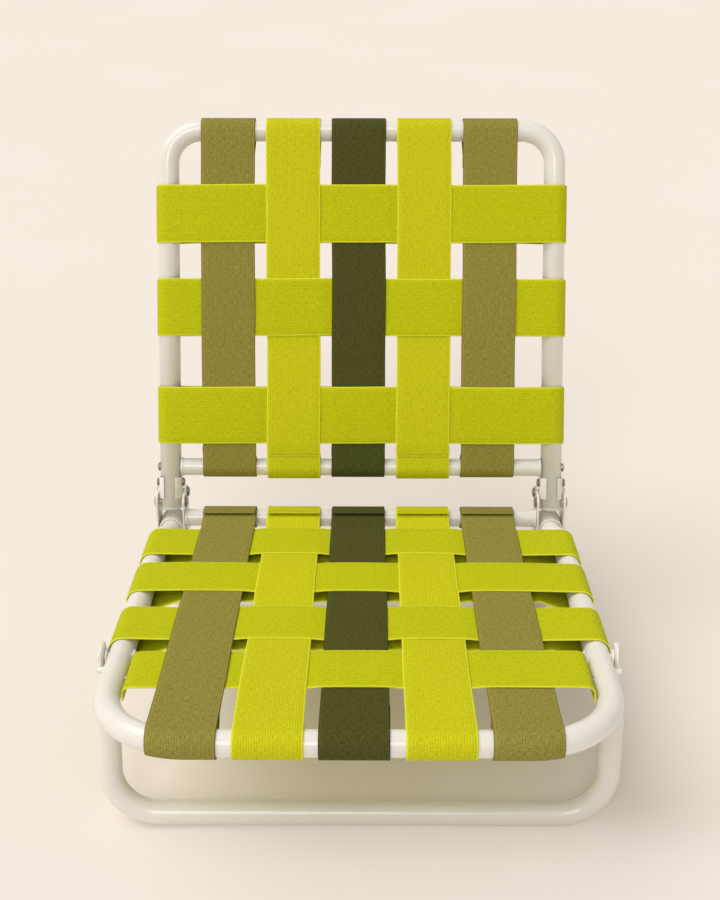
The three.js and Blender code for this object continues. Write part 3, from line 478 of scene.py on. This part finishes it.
bars = [
    ("seat_rear_bar", BACK_HALF - HEAD_AT, (0, SEAT_BAR_AT, SEAT_BAR_RISE), "seat", "seat_rear_crossbar"),
    ("back_lower_bar", BACK_HALF - TUBE_R - BAR_CLEAR, (0, 0, BAR_RISE), "back", "back_crossbar"),
]
for name, end, at, body, solid in bars:
    made_piece(name, turned(bar_profile(end)), Matrix.Translation(at), body, PAINT, "paint", [solid])
    print(name, "half length, mm:", round(end, 1))

# %% [markdown]
# ## Bolts, rivets and pins
# The hinge pins go through both plates of a side, the leg bolts through rail and tab with a washer between,
# and the screws only into the rail. All are the same idea: a low domed head with a recess, a shank, and a
# second head or none.

# %% Bolt, rivet and pin shapes
HEAD_T, PIN_EASE = 2.2, 0.5
DOME = [(0.45, 0), (0.45, 0.36), (0.92, 0.42), (1, 0.5), (0.9, 0.72), (0.62, 0.9), (0.3, 1), (0, 1)]


def head(face, r, way):
    """A low dome with a recess, from its middle to its rim on the face; way is +1 on the right."""
    return [(face + way * HEAD_T * t, r * share) for t, share in DOME]


def pin_profile(inner, outer, shank, head_r, washer=()):
    left = head(inner, head_r, -1) + [(inner, shank)]
    right = head(outer, head_r, 1) + [(outer, shank)]
    return left + list(washer) + right[::-1]


def plate_pin(shank, head_r):
    """A pin through both hinge plates of a side."""
    return pin_profile(BACK_HALF - HEAD_AT, BACK_HALF + HEAD_AT, shank, head_r)


def blunt(start, end, r):
    return [(start, 0), (start, r), (end - PIN_EASE, r), (end, r - PIN_EASE), (end, 0)]


STOP_R, LEG_STOP_R, SHANK, WASHER_R = 4, 3, 4, 8
RIVET_SHANK, RIVET_HEAD, BOLT_HEAD, STOP_HEAD, BAR_BOLT_IN = 3, 5, 7, 6, 25
tube_face, tab_side = TUBE_OUT + GAP, TAB_IN - GAP
rail_in, rail_out = SEAT_HALF - tube_face, SEAT_HALF + tube_face
washer = [(rail_out, SHANK), (rail_out, WASHER_R), (tab_side, WASHER_R), (tab_side, SHANK)]
through, riveted = plate_pin(SHANK, BOLT_HEAD), plate_pin(RIVET_SHANK, RIVET_HEAD)
stopped = plate_pin(STOP_R, STOP_HEAD)
leg_bolt = pin_profile(rail_in, TAB_IN + TAB_T + GAP, SHANK, BOLT_HEAD, washer)
bracket_rivet = pin_profile(BACK_HALF - PLATE_IN, BACK_HALF + PLATE_IN, RIVET_SHANK, RIVET_HEAD)
bar_bolt = blunt(BACK_HALF - BAR_BOLT_IN, BACK_HALF, RIVET_SHANK)[:-1]
bar_bolt += head(BACK_HALF + tube_face, RIVET_HEAD, 1)[::-1]
leg_stop = blunt(SEAT_HALF + TUBE_OUT / 2, TAB_IN + TAB_T, LEG_STOP_R)
print("through pin length, mm:", round(through[-1][0] - through[0][0], 1))

# %% [markdown]
# The front cross strap of the seat is not looped: its ends are turned down the insides of the rails and
# held by a screw each. The screw's head lies on the strap, so its place comes from the strap's thickness.

# %% Strap screws
STRAP_T, TAB_SPARE, SCREW_R, SCREW_LONG = 1.6, 1.2, 2.5, 9
FACE = tube_face + STRAP_T / 2
TAB_X = SEAT_HALF - FACE - TAB_SPARE
tab_face = TAB_X - STRAP_T / 2 - GAP
screw_end = tab_face + SCREW_LONG
tab_screw = head(tab_face, RIVET_HEAD, -1) + [(tab_face, SCREW_R), (screw_end, SCREW_R), (screw_end, 0)]
print("screw head on the strap at, mm:", round(tab_face, 1))

# %% [markdown]
# The stop pins stand behind the back's bracket and the rear leg, a sleeve's radius and their own away
# from the upright's line, which is what fixes how far the back leans. The leg stops are ahead of the tabs.
# The photograph shows the front leg's bolts as white as the tube, so these are painted over.

# %% Place the bolts, rivets and pins
LEAN, SWING = math.radians(SEAT_TILT - BACK_TILT), math.radians(FRONT_TILT - SEAT_TILT)
STOP_UP, STOP_AWAY = 10, SLEEVE_R + STOP_R + GAP
stop_back = STOP_UP * math.sin(LEAN) + STOP_AWAY * math.cos(LEAN)
stop_rise = PIVOT_RISE + STOP_UP * math.cos(LEAN) - STOP_AWAY * math.sin(LEAN)
FRONT_LEG_AT, TAB_SCREW_AT = 0.325 * SEAT_DEPTH, 0.224 * SEAT_DEPTH
LEG_STOP_DROP, LEG_STOP_AWAY = 6, TAB_R + LEG_STOP_R + GAP
leg_stop_at = FRONT_LEG_AT - LEG_STOP_AWAY * math.cos(SWING) + LEG_STOP_DROP * math.sin(SWING)
leg_stop_rise = -LEG_STOP_AWAY * math.sin(SWING) - LEG_STOP_DROP * math.cos(SWING)
FRONT_RIVET, REAR_RIVET = (SEAT_DEPTH - 9, -6), (SEAT_DEPTH + 10, 0)
SCREW_UP, BRACKET_RIVET_UP, PIN_STEPS = 3, 23, 24
pins = [
    ("hinge_rivet_front", riveted, FRONT_RIVET, "seat"),
    ("hinge_rivet_rear", riveted, REAR_RIVET, "seat"),
    ("back_pivot_bolt", through, (SEAT_DEPTH, PIVOT_RISE), "seat"),
    ("rear_leg_bolt", through, (SEAT_DEPTH, -PIVOT_RISE), "seat"),
    ("back_stop_pin", stopped, (SEAT_DEPTH + stop_back, stop_rise), "seat"),
    ("rear_leg_stop_pin", stopped, (SEAT_DEPTH + stop_back, -stop_rise), "seat"),
    ("front_leg_bolt", leg_bolt, (FRONT_LEG_AT, 0), "seat"),
    ("front_leg_stop_pin", leg_stop, (leg_stop_at, leg_stop_rise), "seat"),
    ("strap_screw", tab_screw, (TAB_SCREW_AT, SCREW_UP), "seat"),
    ("bracket_rivet", bracket_rivet, (0, BRACKET_RIVET_UP), "back"),
    ("crossbar_bolt", bar_bolt, (0, BAR_RISE), "back"),
]
SIDES = (("left", -1), ("right", 1))
for name, profile, (y, z), body in pins:
    finish = (PAINT, "paint") if name.startswith("front_leg") else (STEEL, "steel")
    for side, sign in SIDES:
        solid = f"{name}_{side}"
        turn = Matrix.Rotation(math.pi if sign < 0 else 0, 4, "Y")
        at = Matrix.Translation((0, y, z)) @ turn
        made_piece(f"{solid}_turned", turned(profile, PIN_STEPS), at, body, *finish, [solid], sharp=30)
print("pins:", 2 * len(pins))

# %% [markdown]
# ## End caps
# Caps of satin plastic close the rear ends of the rails and the tops of the rear leg. They are thin
# sleeves with a rounded end, drawn along X and turned to lie on their tube.

# %% End caps
RAIL_CAP, LEG_CAP = 36, 38
CAP_BORE, CAP_RIM, CAP_NOSE = 12.7, 0.4, 3


def cap_profile(length):
    rim = CAP_END - length
    wall = [(rim, CAP_BORE), (rim, SLEEVE_R - CAP_RIM), (rim + CAP_RIM, SLEEVE_R)]
    bends = [math.radians(a) for a in range(0, 91, 15)]
    middle, inner = CAP_END - CAP_NOSE, SLEEVE_R - CAP_NOSE
    nose = [(middle + CAP_NOSE * math.sin(a), inner + CAP_NOSE * math.cos(a)) for a in bends]
    return [(GAP, 0), (GAP, CAP_BORE), *wall, *nose, (CAP_END, 0)]


ALONG_Y = Matrix.Rotation(math.pi / 2, 4, "Z")
UP_Z = Matrix.Rotation(-math.pi / 2, 4, "Y")
for side, sign in SIDES:
    x = sign * BACK_HALF
    rail = Matrix.Translation((x, RAIL_END, 0)) @ ALONG_Y
    top = Matrix.Translation((x, 0, CAP_END)) @ UP_Z
    caps = [("rail_cap", RAIL_CAP, rail, "seat"), ("rear_leg_cap", LEG_CAP, top, "rear_leg")]
    for name, long, at, body in caps:
        solid = f"{name}_{side}"
        made_piece(f"{solid}_moulded", turned(cap_profile(long)), at, body, PLASTIC, "plastic", [solid])
    plug = frame["nodes"][f"upright_plug_{side}"].data.materials
    plug.clear()
    plug.append(PLASTIC)
print("caps: 4 moulded, 2 plugs kept from the CAD")

# %% [markdown]
# ## Hinge plates
# Two pressed plates on each side join rail, back and rear leg. A plate's outline goes round its holes, as
# a string pulled tight round discs would, and that is how it is made: discs of the plate's thickness, one
# hull round them all, flat faces merged and the rim rounded over.

# %% Hinge plates
PLATE_EYE, PLATE_EAR, PLATE_EASE = 12, 8, 0.7
discs = [(*FRONT_RIVET, PLATE_EAR)]
for way in (1, -1):
    discs.append((SEAT_DEPTH, way * PIVOT_RISE, PLATE_EYE))
    discs.append((SEAT_DEPTH + stop_back, way * stop_rise, PLATE_EAR))


def plate():
    shape = bmesh.new()
    for y, z, r in discs:
        at = Matrix.Translation((0, y, z)) @ Matrix.Rotation(math.pi / 2, 4, "Y")
        size = {"segments": 40, "radius1": r, "radius2": r, "depth": PLATE_T}
        bmesh.ops.create_cone(shape, cap_ends=True, matrix=at, **size)
    hull = bmesh.ops.convex_hull(shape, input=shape.verts, use_existing_faces=False)
    spare = [g for g in hull["geom_interior"] + hull["geom_unused"] if isinstance(g, bmesh.types.BMVert)]
    bmesh.ops.delete(shape, geom=list(set(spare)), context="VERTS")
    kept = set(hull["geom"])
    bmesh.ops.delete(shape, geom=[f for f in shape.faces if f not in kept], context="FACES")
    flat = math.radians(0.5)
    bmesh.ops.dissolve_limit(shape, angle_limit=flat, verts=shape.verts, edges=shape.edges)
    rim = [e for e in shape.edges if e.calc_face_angle(0) > math.radians(60)]
    bmesh.ops.bevel(
        shape, geom=rim, offset=PLATE_EASE, affect="EDGES", segments=3, profile=0.5, material=-1
    )
    return shape


for side, sign in SIDES:
    for word, x in (("inner", BACK_HALF - PLATE_IN), ("outer", BACK_HALF + PLATE_IN + PLATE_T)):
        solid = f"hinge_plate_{word}_{side}"
        at = Matrix.Translation((sign * (x - PLATE_T / 2), 0, 0))
        made = made_piece(f"{solid}_pressed", plate(), at, "seat", PAINT, "paint", [solid])
print("plate faces:", len(made.data.polygons))

# %% [markdown]
# ## Back brackets
# A sheet metal sleeve wraps the foot of each upright. It is open in front, and its lower edge is cut back
# further so that it clears the rail when the back folds. A line spun most of the way round gives the
# sleeve, the faces of the cut are taken out, and a solidify and a bevel give it sheet thickness.

# %% Brackets
SLOT, BRACKET_R, BRACKET_T, BRACKET_EASE = 29.5, 13.4, 1.2, 0.35
BRACKET_TOP, CUT_TOP, CUT_BACK, BRACKET_STEPS = 29, 4, -4.2, 42


def bracket():
    shape = bmesh.new()
    start = math.radians(SLOT - 90)
    foot = (BRACKET_R * math.cos(start), BRACKET_R * math.sin(start))
    verts = [shape.verts.new((*foot, z)) for z in (-UPRIGHT_END, CUT_TOP, BRACKET_TOP)]
    edges = [shape.edges.new(pair) for pair in zip(verts, verts[1:])]
    bmesh.ops.spin(
        shape,
        geom=verts + edges,
        cent=(0, 0, 0),
        axis=(0, 0, 1),
        angle=math.radians(360 - 2 * SLOT),
        steps=BRACKET_STEPS,
        use_merge=False,
        use_duplicate=False,
    )
    middles = [(f, f.calc_center_median()) for f in shape.faces]
    cut = [f for f, middle in middles if middle.z < CUT_TOP and middle.y < CUT_BACK]
    bmesh.ops.delete(shape, geom=cut, context="FACES")
    return shape


def softened(piece, width, segments):
    rim = piece.modifiers.new("rim", "BEVEL")
    rim.width = width * MM
    rim.segments = segments
    rim.limit_method = "ANGLE"
    rim.angle_limit = math.radians(60)
    return piece


for side, sign in SIDES:
    solid = f"back_bracket_{side}"
    at = Matrix.Translation((sign * BACK_HALF, 0, 0))
    sleeve = made_piece(f"{solid}_pressed", bracket(), at, "back", PAINT, "paint", [solid])
    softened(walled(sleeve, BRACKET_T, 0), BRACKET_EASE, 2)
print("bracket faces:", len(sleeve.data.polygons))

# %% [markdown]
# ## Webbing
# Flat webbing has one free direction, along the strap. So each strap is a path seen from its edge, in
# (along, out), and a short edge across the strap's width that is pushed along that path. The paths are
# the CAD's: flats over and under the crossings, joined by short slopes, with wraps round the tubes. The
# lists of over and under have a row for each cross strap: 1 where it goes over a long strap, -1 under it.

# %% Weave sizes
PITCH, SHIFT = 0.337 * BACK_HALF, -3
LIFT, EDGE = (STRAP_T + GAP) / 2, 2
BAR_FACE = BAR_R + GAP + STRAP_T / 2
LONG_AT = [k * PITCH + SHIFT for k in (-2, -1, 0, 1, 2)]
SEAT_CROSS_AT = [k * SEAT_DEPTH for k in (0.836, 0.64, 0.419, 0.224)]
BACK_CROSS_AT = [k * BACK_HEIGHT for k in (0.777, 0.528, 0.238)]
SEAT_OVER = [(-1, 1, -1, 1, -1), (1, -1, 1, -1, 1), (-1, 1, -1, 1, -1), (-1, -1, 1, -1, 1)]
BACK_OVER = [(1, -1, 1, -1, 1), (-1, 1, -1, 1, -1), (1, -1, 1, -1, 1)]
print("long straps at, mm:", [round(x, 1) for x in LONG_AT])

# %% [markdown]
# The path of a strap is first a line with corners. Cutting each corner twice rounds it as a stiff strap
# rounds over its neighbour's edge, and long straights get stops so that the strap can waver a little.

# %% Paths
def arc(centre, r, start, end, steps):
    angles = [start + (end - start) * i / steps for i in range(steps + 1)]
    return [centre + r * Vector((math.cos(a), math.sin(a))) for a in angles]


def woven(crossings, width, signs):
    reach = width / 2 + EDGE
    levels = [(at, FACE + sign * LIFT) for at, sign in zip(crossings, signs)]
    return [Vector((at + side * reach, level)) for at, level in levels for side in (-1, 1)]


def rounded(points, times=2):
    for _ in range(times):
        pairs = list(zip(points, points[1:]))
        cut = [a.lerp(b, k) for a, b in pairs for k in (0.25, 0.75)]
        points = [points[0], *cut, points[-1]]
    return points


def stepped(points, longest=9):
    path = [points[0]]
    for a, b in zip(points, points[1:]):
        count = max(1, math.ceil((b - a).length / longest))
        path += [a.lerp(b, i / count) for i in range(1, count + 1)]
    return path


corner = [Vector((0, 0)), Vector((40, 0)), Vector((40, 40))]
print("stops of a corner when cut, and when stepped:", len(rounded(corner)), len(stepped(rounded(corner))))

# %% [markdown]
# A strap's end goes once round its tube and comes back against the underside of its own run, where it is
# sewn. The wrap starts where the run touches the tube and leaves it along the tangent to its tail.

# %% Wrapped ends
MEET_AT, MEET_MOST, STOP_MOST = 2.2, 0.65, 0.93


def wrap(centre, r, run_end, hand):
    away = run_end - centre
    start = math.atan2(away.y, away.x) + hand * math.acos(r / away.length)
    first = arc(centre, r, start, start, 1)[0]
    run = run_end - first
    length = run.length
    run.normalize()
    under = Vector((-run.y, run.x)) * hand * (STRAP_T + GAP)
    meet = min(MEET_AT * r, MEET_MOST * length)
    stop = min(meet + r, STOP_MOST * length)
    tail = [first + run * d - under for d in (meet, stop)]
    chord = tail[0] - centre
    leave = math.atan2(chord.y, chord.x) - hand * math.acos(r / chord.length)
    sweep = hand * (leave - start) % (2 * math.pi)
    turn = arc(centre, r, start, start + hand * sweep, math.ceil(sweep / math.radians(10)))
    return turn + tail


def long_path(start, start_r, end, end_r, crossings, signs):
    run = woven(crossings, CROSS_W, signs)
    first = wrap(start, start_r, run[0], 1)[::-1]
    last = wrap(end, end_r, run[-1], -1)
    return first + rounded(run) + last


print("stops of a wrap round a tube:", len(wrap(Vector((0, 0)), FACE, Vector((60, FACE)), 1)))

# %% [markdown]
# A cross strap is a loop round both side tubes. Its layer below is drawn up towards the weave, and its two
# ends lap there and are sewn. The front one of the seat is short: its ends are turned down the insides of
# the rails and screwed there.

# %% Cross strap paths
LAP, LOOP_DEPTH, LOOP_REACH = 22, 12, 42
TAB_LOW, TAB_HIGH, LOOP_STEPS = -1.5, 7.5, 20


def loop_path(half, signs):
    run = rounded(woven(LONG_AT, LONG_W, signs))
    level, inner = FACE - LOOP_DEPTH, half - LOOP_REACH
    slope = math.acos(FACE / math.hypot(LOOP_REACH, level)) - math.atan2(level, LOOP_REACH)
    right = arc(Vector((half, 0)), FACE, math.pi / 2, slope - math.pi, LOOP_STEPS)
    left = arc(Vector((-half, 0)), FACE, 2 * math.pi - slope, math.pi / 2, LOOP_STEPS)
    begin = [Vector((LAP, level)), Vector((-inner, level))]
    close = [Vector((inner, level)), Vector((2 * LAP, level)), Vector((-LAP, level + STRAP_T))]
    return begin + left + run + right + close


def tab_path(signs):
    run = woven(LONG_AT, LONG_W, signs)

    def tab(level, sign):
        """Up the rail's side, then leaning in by 1.2, 4 and 9 mm as it bends over to the run's level."""
        middle = (TAB_HIGH + level) / 2
        bend = [(0, TAB_LOW), (0, TAB_HIGH), (1.2, middle), (4, level - 1), (9, level)]
        return [Vector((sign * (TAB_X - lean), out)) for lean, out in bend]

    return rounded(tab(run[0].y, -1) + run + tab(run[-1].y, 1)[::-1])


samples = [loop_path(BACK_HALF, BACK_OVER[0]), tab_path(SEAT_OVER[-1])]
print("stops of a loop and of the short strap:", [len(path) for path in samples])

# %% [markdown]
# The strap itself: one edge across, cut into eight, pushed from stop to stop. On the way each point keeps
# how far along and how far across it is, which becomes the UV that the weave follows. Taut webbing still
# wavers by a fraction of a millimetre, and a solidify and a small bevel give it body and soft edges.

# %% Strap builder
WAVER, WAVES, STRIPS = 0.5, (38, 97), 8


def strap_shape(path, width, phase):
    shape = bmesh.new()
    along = shape.verts.layers.float.new("along")
    across = shape.verts.layers.float.new("across")
    uv = shape.loops.layers.uv.new("strap")
    ends = [shape.verts.new((path[0].x, side * width / 2, path[0].y)) for side in (-1, 1)]
    bmesh.ops.subdivide_edges(shape, edges=[shape.edges.new(ends)], cuts=STRIPS - 1)
    for v in shape.verts:
        v[across] = v.co.y / width + 0.5
    ring, length = shape.edges[:], 0.0
    for here, there in zip(path, path[1:]):
        step = there - here
        ring = pushed(shape, ring, (step.x, 0, step.y))
        length += step.length
        for v in {v for e in ring for v in e.verts}:
            v[along] = length
    for face in shape.faces:
        for corner in face.loops:
            corner[uv].uv = (corner.vert[across], corner.vert[along])
    for v in shape.verts:
        short, slow = v[along] / WAVES[0] + phase, v[along] / WAVES[1] + 2 * phase
        v.co.y += WAVER * math.sin(short) * math.sin(slow)
    return shape, length


def axes(along, across, out, origin):
    """Columns are where along, across and out point in the body's axes."""
    turn = Matrix((along, across, out)).transposed().to_4x4()
    return Matrix.Translation(origin) @ turn


SEAT_LONG = ((0, 1, 0), (-1, 0, 0), (0, 0, 1))
SEAT_CROSS = ((1, 0, 0), (0, 1, 0), (0, 0, 1))
BACK_LONG = ((0, 0, 1), (-1, 0, 0), (0, -1, 0))
BACK_CROSS = ((1, 0, 0), (0, 0, 1), (0, -1, 0))
print("strips across a strap:", STRIPS)

# %% [markdown]
# ### Hems and stitches
# On the seat, each long strap shows a folded hem with a cross seam just ahead of the rear bar; on the back
# the two lime straps show one above the lower bar. A hem is a second short layer that lies on the strap
# and follows it round the bar, with two rows of thread. A stitch is a small flattened ball.

# %% Hem and stitch builders
HEM_GAP, HEM_TURN, HEM_STEPS = 0.1, 1.9, 14
STITCH_PITCH, STITCH = 2.8, (0.5, 1.05, 0.35)


def hem_path(centre, r, far, hand):
    """A second layer over the strap: round the bar from behind it, then out along the run to far."""
    lift = r + STRAP_T + HEM_GAP
    away = far - centre
    start = math.atan2(away.y, away.x) + hand * math.acos(lift / away.length)
    turn = arc(centre, lift, start + hand * HEM_TURN, start, HEM_STEPS)
    return turn + [far]


def stitch_rows(spots, width):
    shape = bmesh.new()
    count = int(width / STITCH_PITCH)
    size = Matrix.Diagonal((*STITCH, 1))
    for along, out in spots:
        for i in range(1, count):
            at = Matrix.Translation((along, -width / 2 + i * width / count, out))
            bmesh.ops.create_uvsphere(shape, u_segments=6, v_segments=4, radius=1, matrix=at @ size)
    return shape


print("stitches in a row:", int(LONG_W / STITCH_PITCH) - 1)

# %% [markdown]
# ### The front bends
# The two outer long straps lie on the bends of the front tube. There the tube runs back and its section
# is cut at a slant, so the strap's end is set back and drawn longer by the same amounts, fading to nothing
# at the first crossing.

# %% Fit the outer straps to the front bends
def fitted(shape, centre_x, first_crossing):
    for v in shape.verts:
        past = max(abs(centre_x - v.co.y) - SEAT_HALF + SEAT_BEND, 0)
        lean = math.asin(past / SEAT_BEND)
        fade = min(max((v.co.x - FACE) / (first_crossing - FACE), 0), 1)
        set_back = SEAT_BEND * (1 - math.cos(lean)) + v.co.x * (1 / math.cos(lean) - 1)
        v.co.x += (1 - eased(fade)) * set_back


print("the bends start, mm from the middle:", SEAT_HALF - SEAT_BEND)

# %% [markdown]
# ### From strap to piece
# Every strap and hem gets its thickness from a solidify and its soft edges from a bevel. A hem is sewn with
# two rows of thread near its free end, and the stitches are one piece. Neighbours waver in other phases.

# %% Cloth pieces and sewn hems
CLOTH_T, CLOTH_EASE = 1.4, 0.45
HEM_IN, HEM_STOPS, SEAMS = 0.6, 4, (2.2, 5.2)
BACK_PHASE, SEAT_CROSS_PHASE, BACK_CROSS_PHASE = 5, 9, 13


def cloth_piece(name, path, width, local, body, finish, phase, nodes, fit=None):
    material, slot = finish
    shape, length = strap_shape(path, width, phase)
    if fit:
        fitted(shape, *fit)
    piece = made_piece(name, shape, local, body, material, slot, nodes)
    softened(walled(piece, CLOTH_T, 0), CLOTH_EASE, 2)
    return piece, length


def hem_pieces(name, centre, r, far, hand, local, body, finish, phase):
    path = stepped(hem_path(centre, r, far, hand), HEM_STOPS)
    hem, _ = cloth_piece(f"{name}_hem", path, LONG_W - HEM_IN, local, body, finish, phase, [])
    back = (path[-2] - path[-1]).normalized()
    spots = [path[-1] + back * d + Vector((0, CLOTH_T / 2)) for d in SEAMS]
    rows = stitch_rows(spots, LONG_W)
    thread = THREAD[finish[0]]
    sewn = made_piece(f"{name}_stitches", rows, local, body, thread, finish[1], [])
    return [hem, sewn]


print("cloth thickness, mm:", CLOTH_T)

# %% [markdown]
# ### Seat straps
# Five long straps run from the front tube to the rear bar, and four cross straps are woven through them.
# The colours run olive, lime, dark green, lime, olive; every cross strap is lime. A long strap is taut, so
# its flat size is its width and the length of its path.

# %% Seat long straps
SEAT_HEM = Vector((-15, BAR_FACE + 1.3))
REAR_BAR = Vector((SEAT_BAR_AT, SEAT_BAR_RISE))
for j, x in enumerate(LONG_AT):
    order = [(at, -over[j]) for at, over in zip(SEAT_CROSS_AT, SEAT_OVER)][::-1]
    spots, signs = zip(*order)
    path = stepped(long_path(Vector((0, 0)), FACE, REAR_BAR, BAR_FACE, spots, signs))
    name, local = f"seat_long_strap_{j + 1}", axes(*SEAT_LONG, (x, 0, 0))
    fit = (x, spots[0] - CROSS_W / 2 - EDGE)
    piece, length = cloth_piece(f"{name}_web", path, LONG_W, local, "seat", LONG_FINISH[j], j, [name], fit)
    far = REAR_BAR + SEAT_HEM
    extra = hem_pieces(name, REAR_BAR, BAR_FACE, far, -1, local, "seat", LONG_FINISH[j], j)
    print(name, "flat, mm:", LONG_W, round(length))

# %% [markdown]
# Three of the seat's cross straps are loops round both rails. The front one is the short strap with tabs,
# because in the photograph its ends stop inside the rails and don't go round them.

# %% Seat cross straps
for i, y in enumerate(SEAT_CROSS_AT):
    last = i == len(SEAT_CROSS_AT) - 1
    path = stepped(tab_path(SEAT_OVER[i]) if last else loop_path(SEAT_HALF, SEAT_OVER[i]))
    name, local = f"seat_cross_strap_{i + 1}", axes(*SEAT_CROSS, (0, y, 0))
    phase = SEAT_CROSS_PHASE + i
    piece, length = cloth_piece(f"{name}_web", path, CROSS_W, local, "seat", CROSS_FINISH, phase, [name])
    print(name, "flat, mm:", CROSS_W, round(length))

# %% [markdown]
# ### Back straps
# The back repeats the seat: five long straps from the lower bar over the top tube, and three loops across.

# %% Back long straps
LOWER_BAR, TOP_TUBE = Vector((BAR_RISE, 0)), Vector((BACK_HEIGHT, 0))
BACK_HEM, HEMMED = Vector((18, BAR_FACE + 2.0)), (1, 3)
for j, x in enumerate(LONG_AT):
    order = [(at, -over[j]) for at, over in zip(BACK_CROSS_AT, BACK_OVER)][::-1]
    spots, signs = zip(*order)
    path = stepped(long_path(LOWER_BAR, BAR_FACE, TOP_TUBE, FACE, spots, signs))
    name, local = f"back_long_strap_{j + 1}", axes(*BACK_LONG, (x, 0, 0))
    phase = BACK_PHASE + j
    piece, length = cloth_piece(f"{name}_web", path, LONG_W, local, "back", LONG_FINISH[j], phase, [name])
    extra = []
    if j in HEMMED:
        far = LOWER_BAR + BACK_HEM
        extra = hem_pieces(name, LOWER_BAR, BAR_FACE, far, 1, local, "back", LONG_FINISH[j], phase)
    print(name, "flat, mm:", LONG_W, round(length))

# %% [markdown]
# The back's cross straps are all loops round both uprights. Seen from behind, the lower layer of each lies
# flat across the back, drawn up towards the weave.

# %% Back cross straps
for i, z in enumerate(BACK_CROSS_AT):
    path = stepped(loop_path(BACK_HALF, BACK_OVER[i]))
    name, local = f"back_cross_strap_{i + 1}", axes(*BACK_CROSS, (0, 0, z))
    phase = BACK_CROSS_PHASE + i
    piece, length = cloth_piece(f"{name}_web", path, CROSS_W, local, "back", CROSS_FINISH, phase, [name])
    print(name, "flat, mm:", CROSS_W, round(length))

# %% [markdown]
# ## Floor
# The chair stands on a plain cream floor that fills the picture. One large flat grid is enough.

# %% Floor
FLOOR_HALF = 9
ground = bmesh.new()
bmesh.ops.create_grid(ground, x_segments=1, y_segments=1, size=FLOOR_HALF)
floor_mesh = bpy.data.meshes.new("floor")
ground.to_mesh(floor_mesh)
ground.free()
floor = bpy.data.objects.new("floor", floor_mesh)
bpy.context.collection.objects.link(floor)
print("floor, m:", [round(s, 1) for s in floor.dimensions])

# %% [markdown]
# The photograph's floor stays bright right under the seat's front edge. More light there would bleach the
# tubes, so the floor glows with a share of its own colour on the rays by which it is seen. This is painted
# light that lifts the chair's shadow, most of it in front of the base tube; the rest takes the shadows. It
# is matt, and its tint drifts over patches of 0.7 m.

# %% Floor finish
# How much painted light the floor shows, from behind the base tube to in front of it.
NEAR, BEHIND = -0.27, -0.14
NEAR_SHARE, FAR_SHARE = 0.68, 0.04
FLOOR_PATCH = 667


def in_view(tree):
    """1 on the rays by which a surface is seen, straight on, mirrored or through glass."""
    rays = node(tree, "ShaderNodeLightPath").node.outputs
    both = {0: rays["Is Glossy Ray"], 1: rays["Is Transmission Ray"]}
    every = {0: rays["Is Camera Ray"], 1: node(tree, "ShaderNodeMath", both, operation="MAXIMUM")}
    return node(tree, "ShaderNodeMath", every, operation="MAXIMUM")


cream, tree = new_material("cream_floor")
place = node(tree, "ShaderNodeTexCoord", out="Object")
cloud = node(tree, "ShaderNodeTexNoise", {"Vector": place, "Scale": 1 / (FLOOR_PATCH * MM), "Detail": 3})
tint = node(tree, "ShaderNodeMix", {0: cloud, 6: srgb("#F4EBE3"), 7: srgb("#F7EFE8")}, 2, data_type="RGBA")
shader = tree.nodes["Principled BSDF"]
tree.links.new(tint, shader.inputs["Base Color"])
shader.inputs["Roughness"].default_value = 0.9
shader.inputs["Specular IOR Level"].default_value = 0.1
# Painted light: in front of the base tube the floor glows in its own colour on the rays that see it, which
# lifts the chair's shadow there.
depth = node(tree, "ShaderNodeSeparateXYZ", {0: place}, out=1)
ramp = {0: depth, 1: BEHIND, 2: NEAR, 3: FAR_SHARE, 4: NEAR_SHARE}
near = node(tree, "ShaderNodeMapRange", ramp, interpolation_type="SMOOTHSTEP")
share = node(tree, "ShaderNodeMath", {0: in_view(tree), 1: near}, operation="MULTIPLY")
painted_floor_light = node(tree, "ShaderNodeEmission", {"Color": srgb("#F5EBE2"), "Strength": 1.0})
floor_with_painted_light = node(tree, "ShaderNodeMixShader", {0: share, 1: shader.outputs[0], 2: painted_floor_light})
tree.links.new(floor_with_painted_light, tree.nodes["Material Output"].inputs["Surface"])
floor_mesh.materials.append(cream)
print("floor finish:", cream.name, "with", len(tree.nodes), "nodes")

# %% [markdown]
# ## Light
# Two softboxes do the work, made as distant lights with a wide disc. The key is high on the left: it gives
# the soft shadow to the right and keeps the seat brighter than the back. A smaller one in front reaches
# under the seat and draws the bright lines along the glossy tubes. Pale surroundings fill in, and where
# they are seen themselves they have the floor's colour, so that no horizon shows.

# %% Light
WARM, SKY_STRENGTH = "#FFFBF6", 0.42


def softbox(name, toward, strength, spread):
    data = bpy.data.lights.new(name, "SUN")
    data.energy = strength
    data.angle = math.radians(spread)
    data.color = srgb(WARM)[:3]
    made = bpy.data.objects.new(name, data)
    made.rotation_euler = Vector(toward).to_track_quat("-Z", "Y").to_euler()
    bpy.context.collection.objects.link(made)


softbox("key", toward=(0.5, 0.0, -0.85), strength=1.6, spread=46)
softbox("front", toward=(0.14, 0.75, -0.58), strength=0.8, spread=26)
world = bpy.data.worlds.new("studio")
world.use_nodes = True
tree = world.node_tree
sky = tree.nodes["Background"]
sky.inputs["Color"].default_value = srgb("#FFFCF9")
sky.inputs["Strength"].default_value = SKY_STRENGTH
backdrop = node(tree, "ShaderNodeBackground", {"Color": srgb("#F7EBE0"), "Strength": 1.0})
mixed = node(tree, "ShaderNodeMixShader", {0: in_view(tree), 1: sky.outputs[0], 2: backdrop})
tree.links.new(mixed, tree.nodes["World Output"].inputs["Surface"])
bpy.context.scene.world = world
bpy.context.scene.view_settings.view_transform = "Standard"
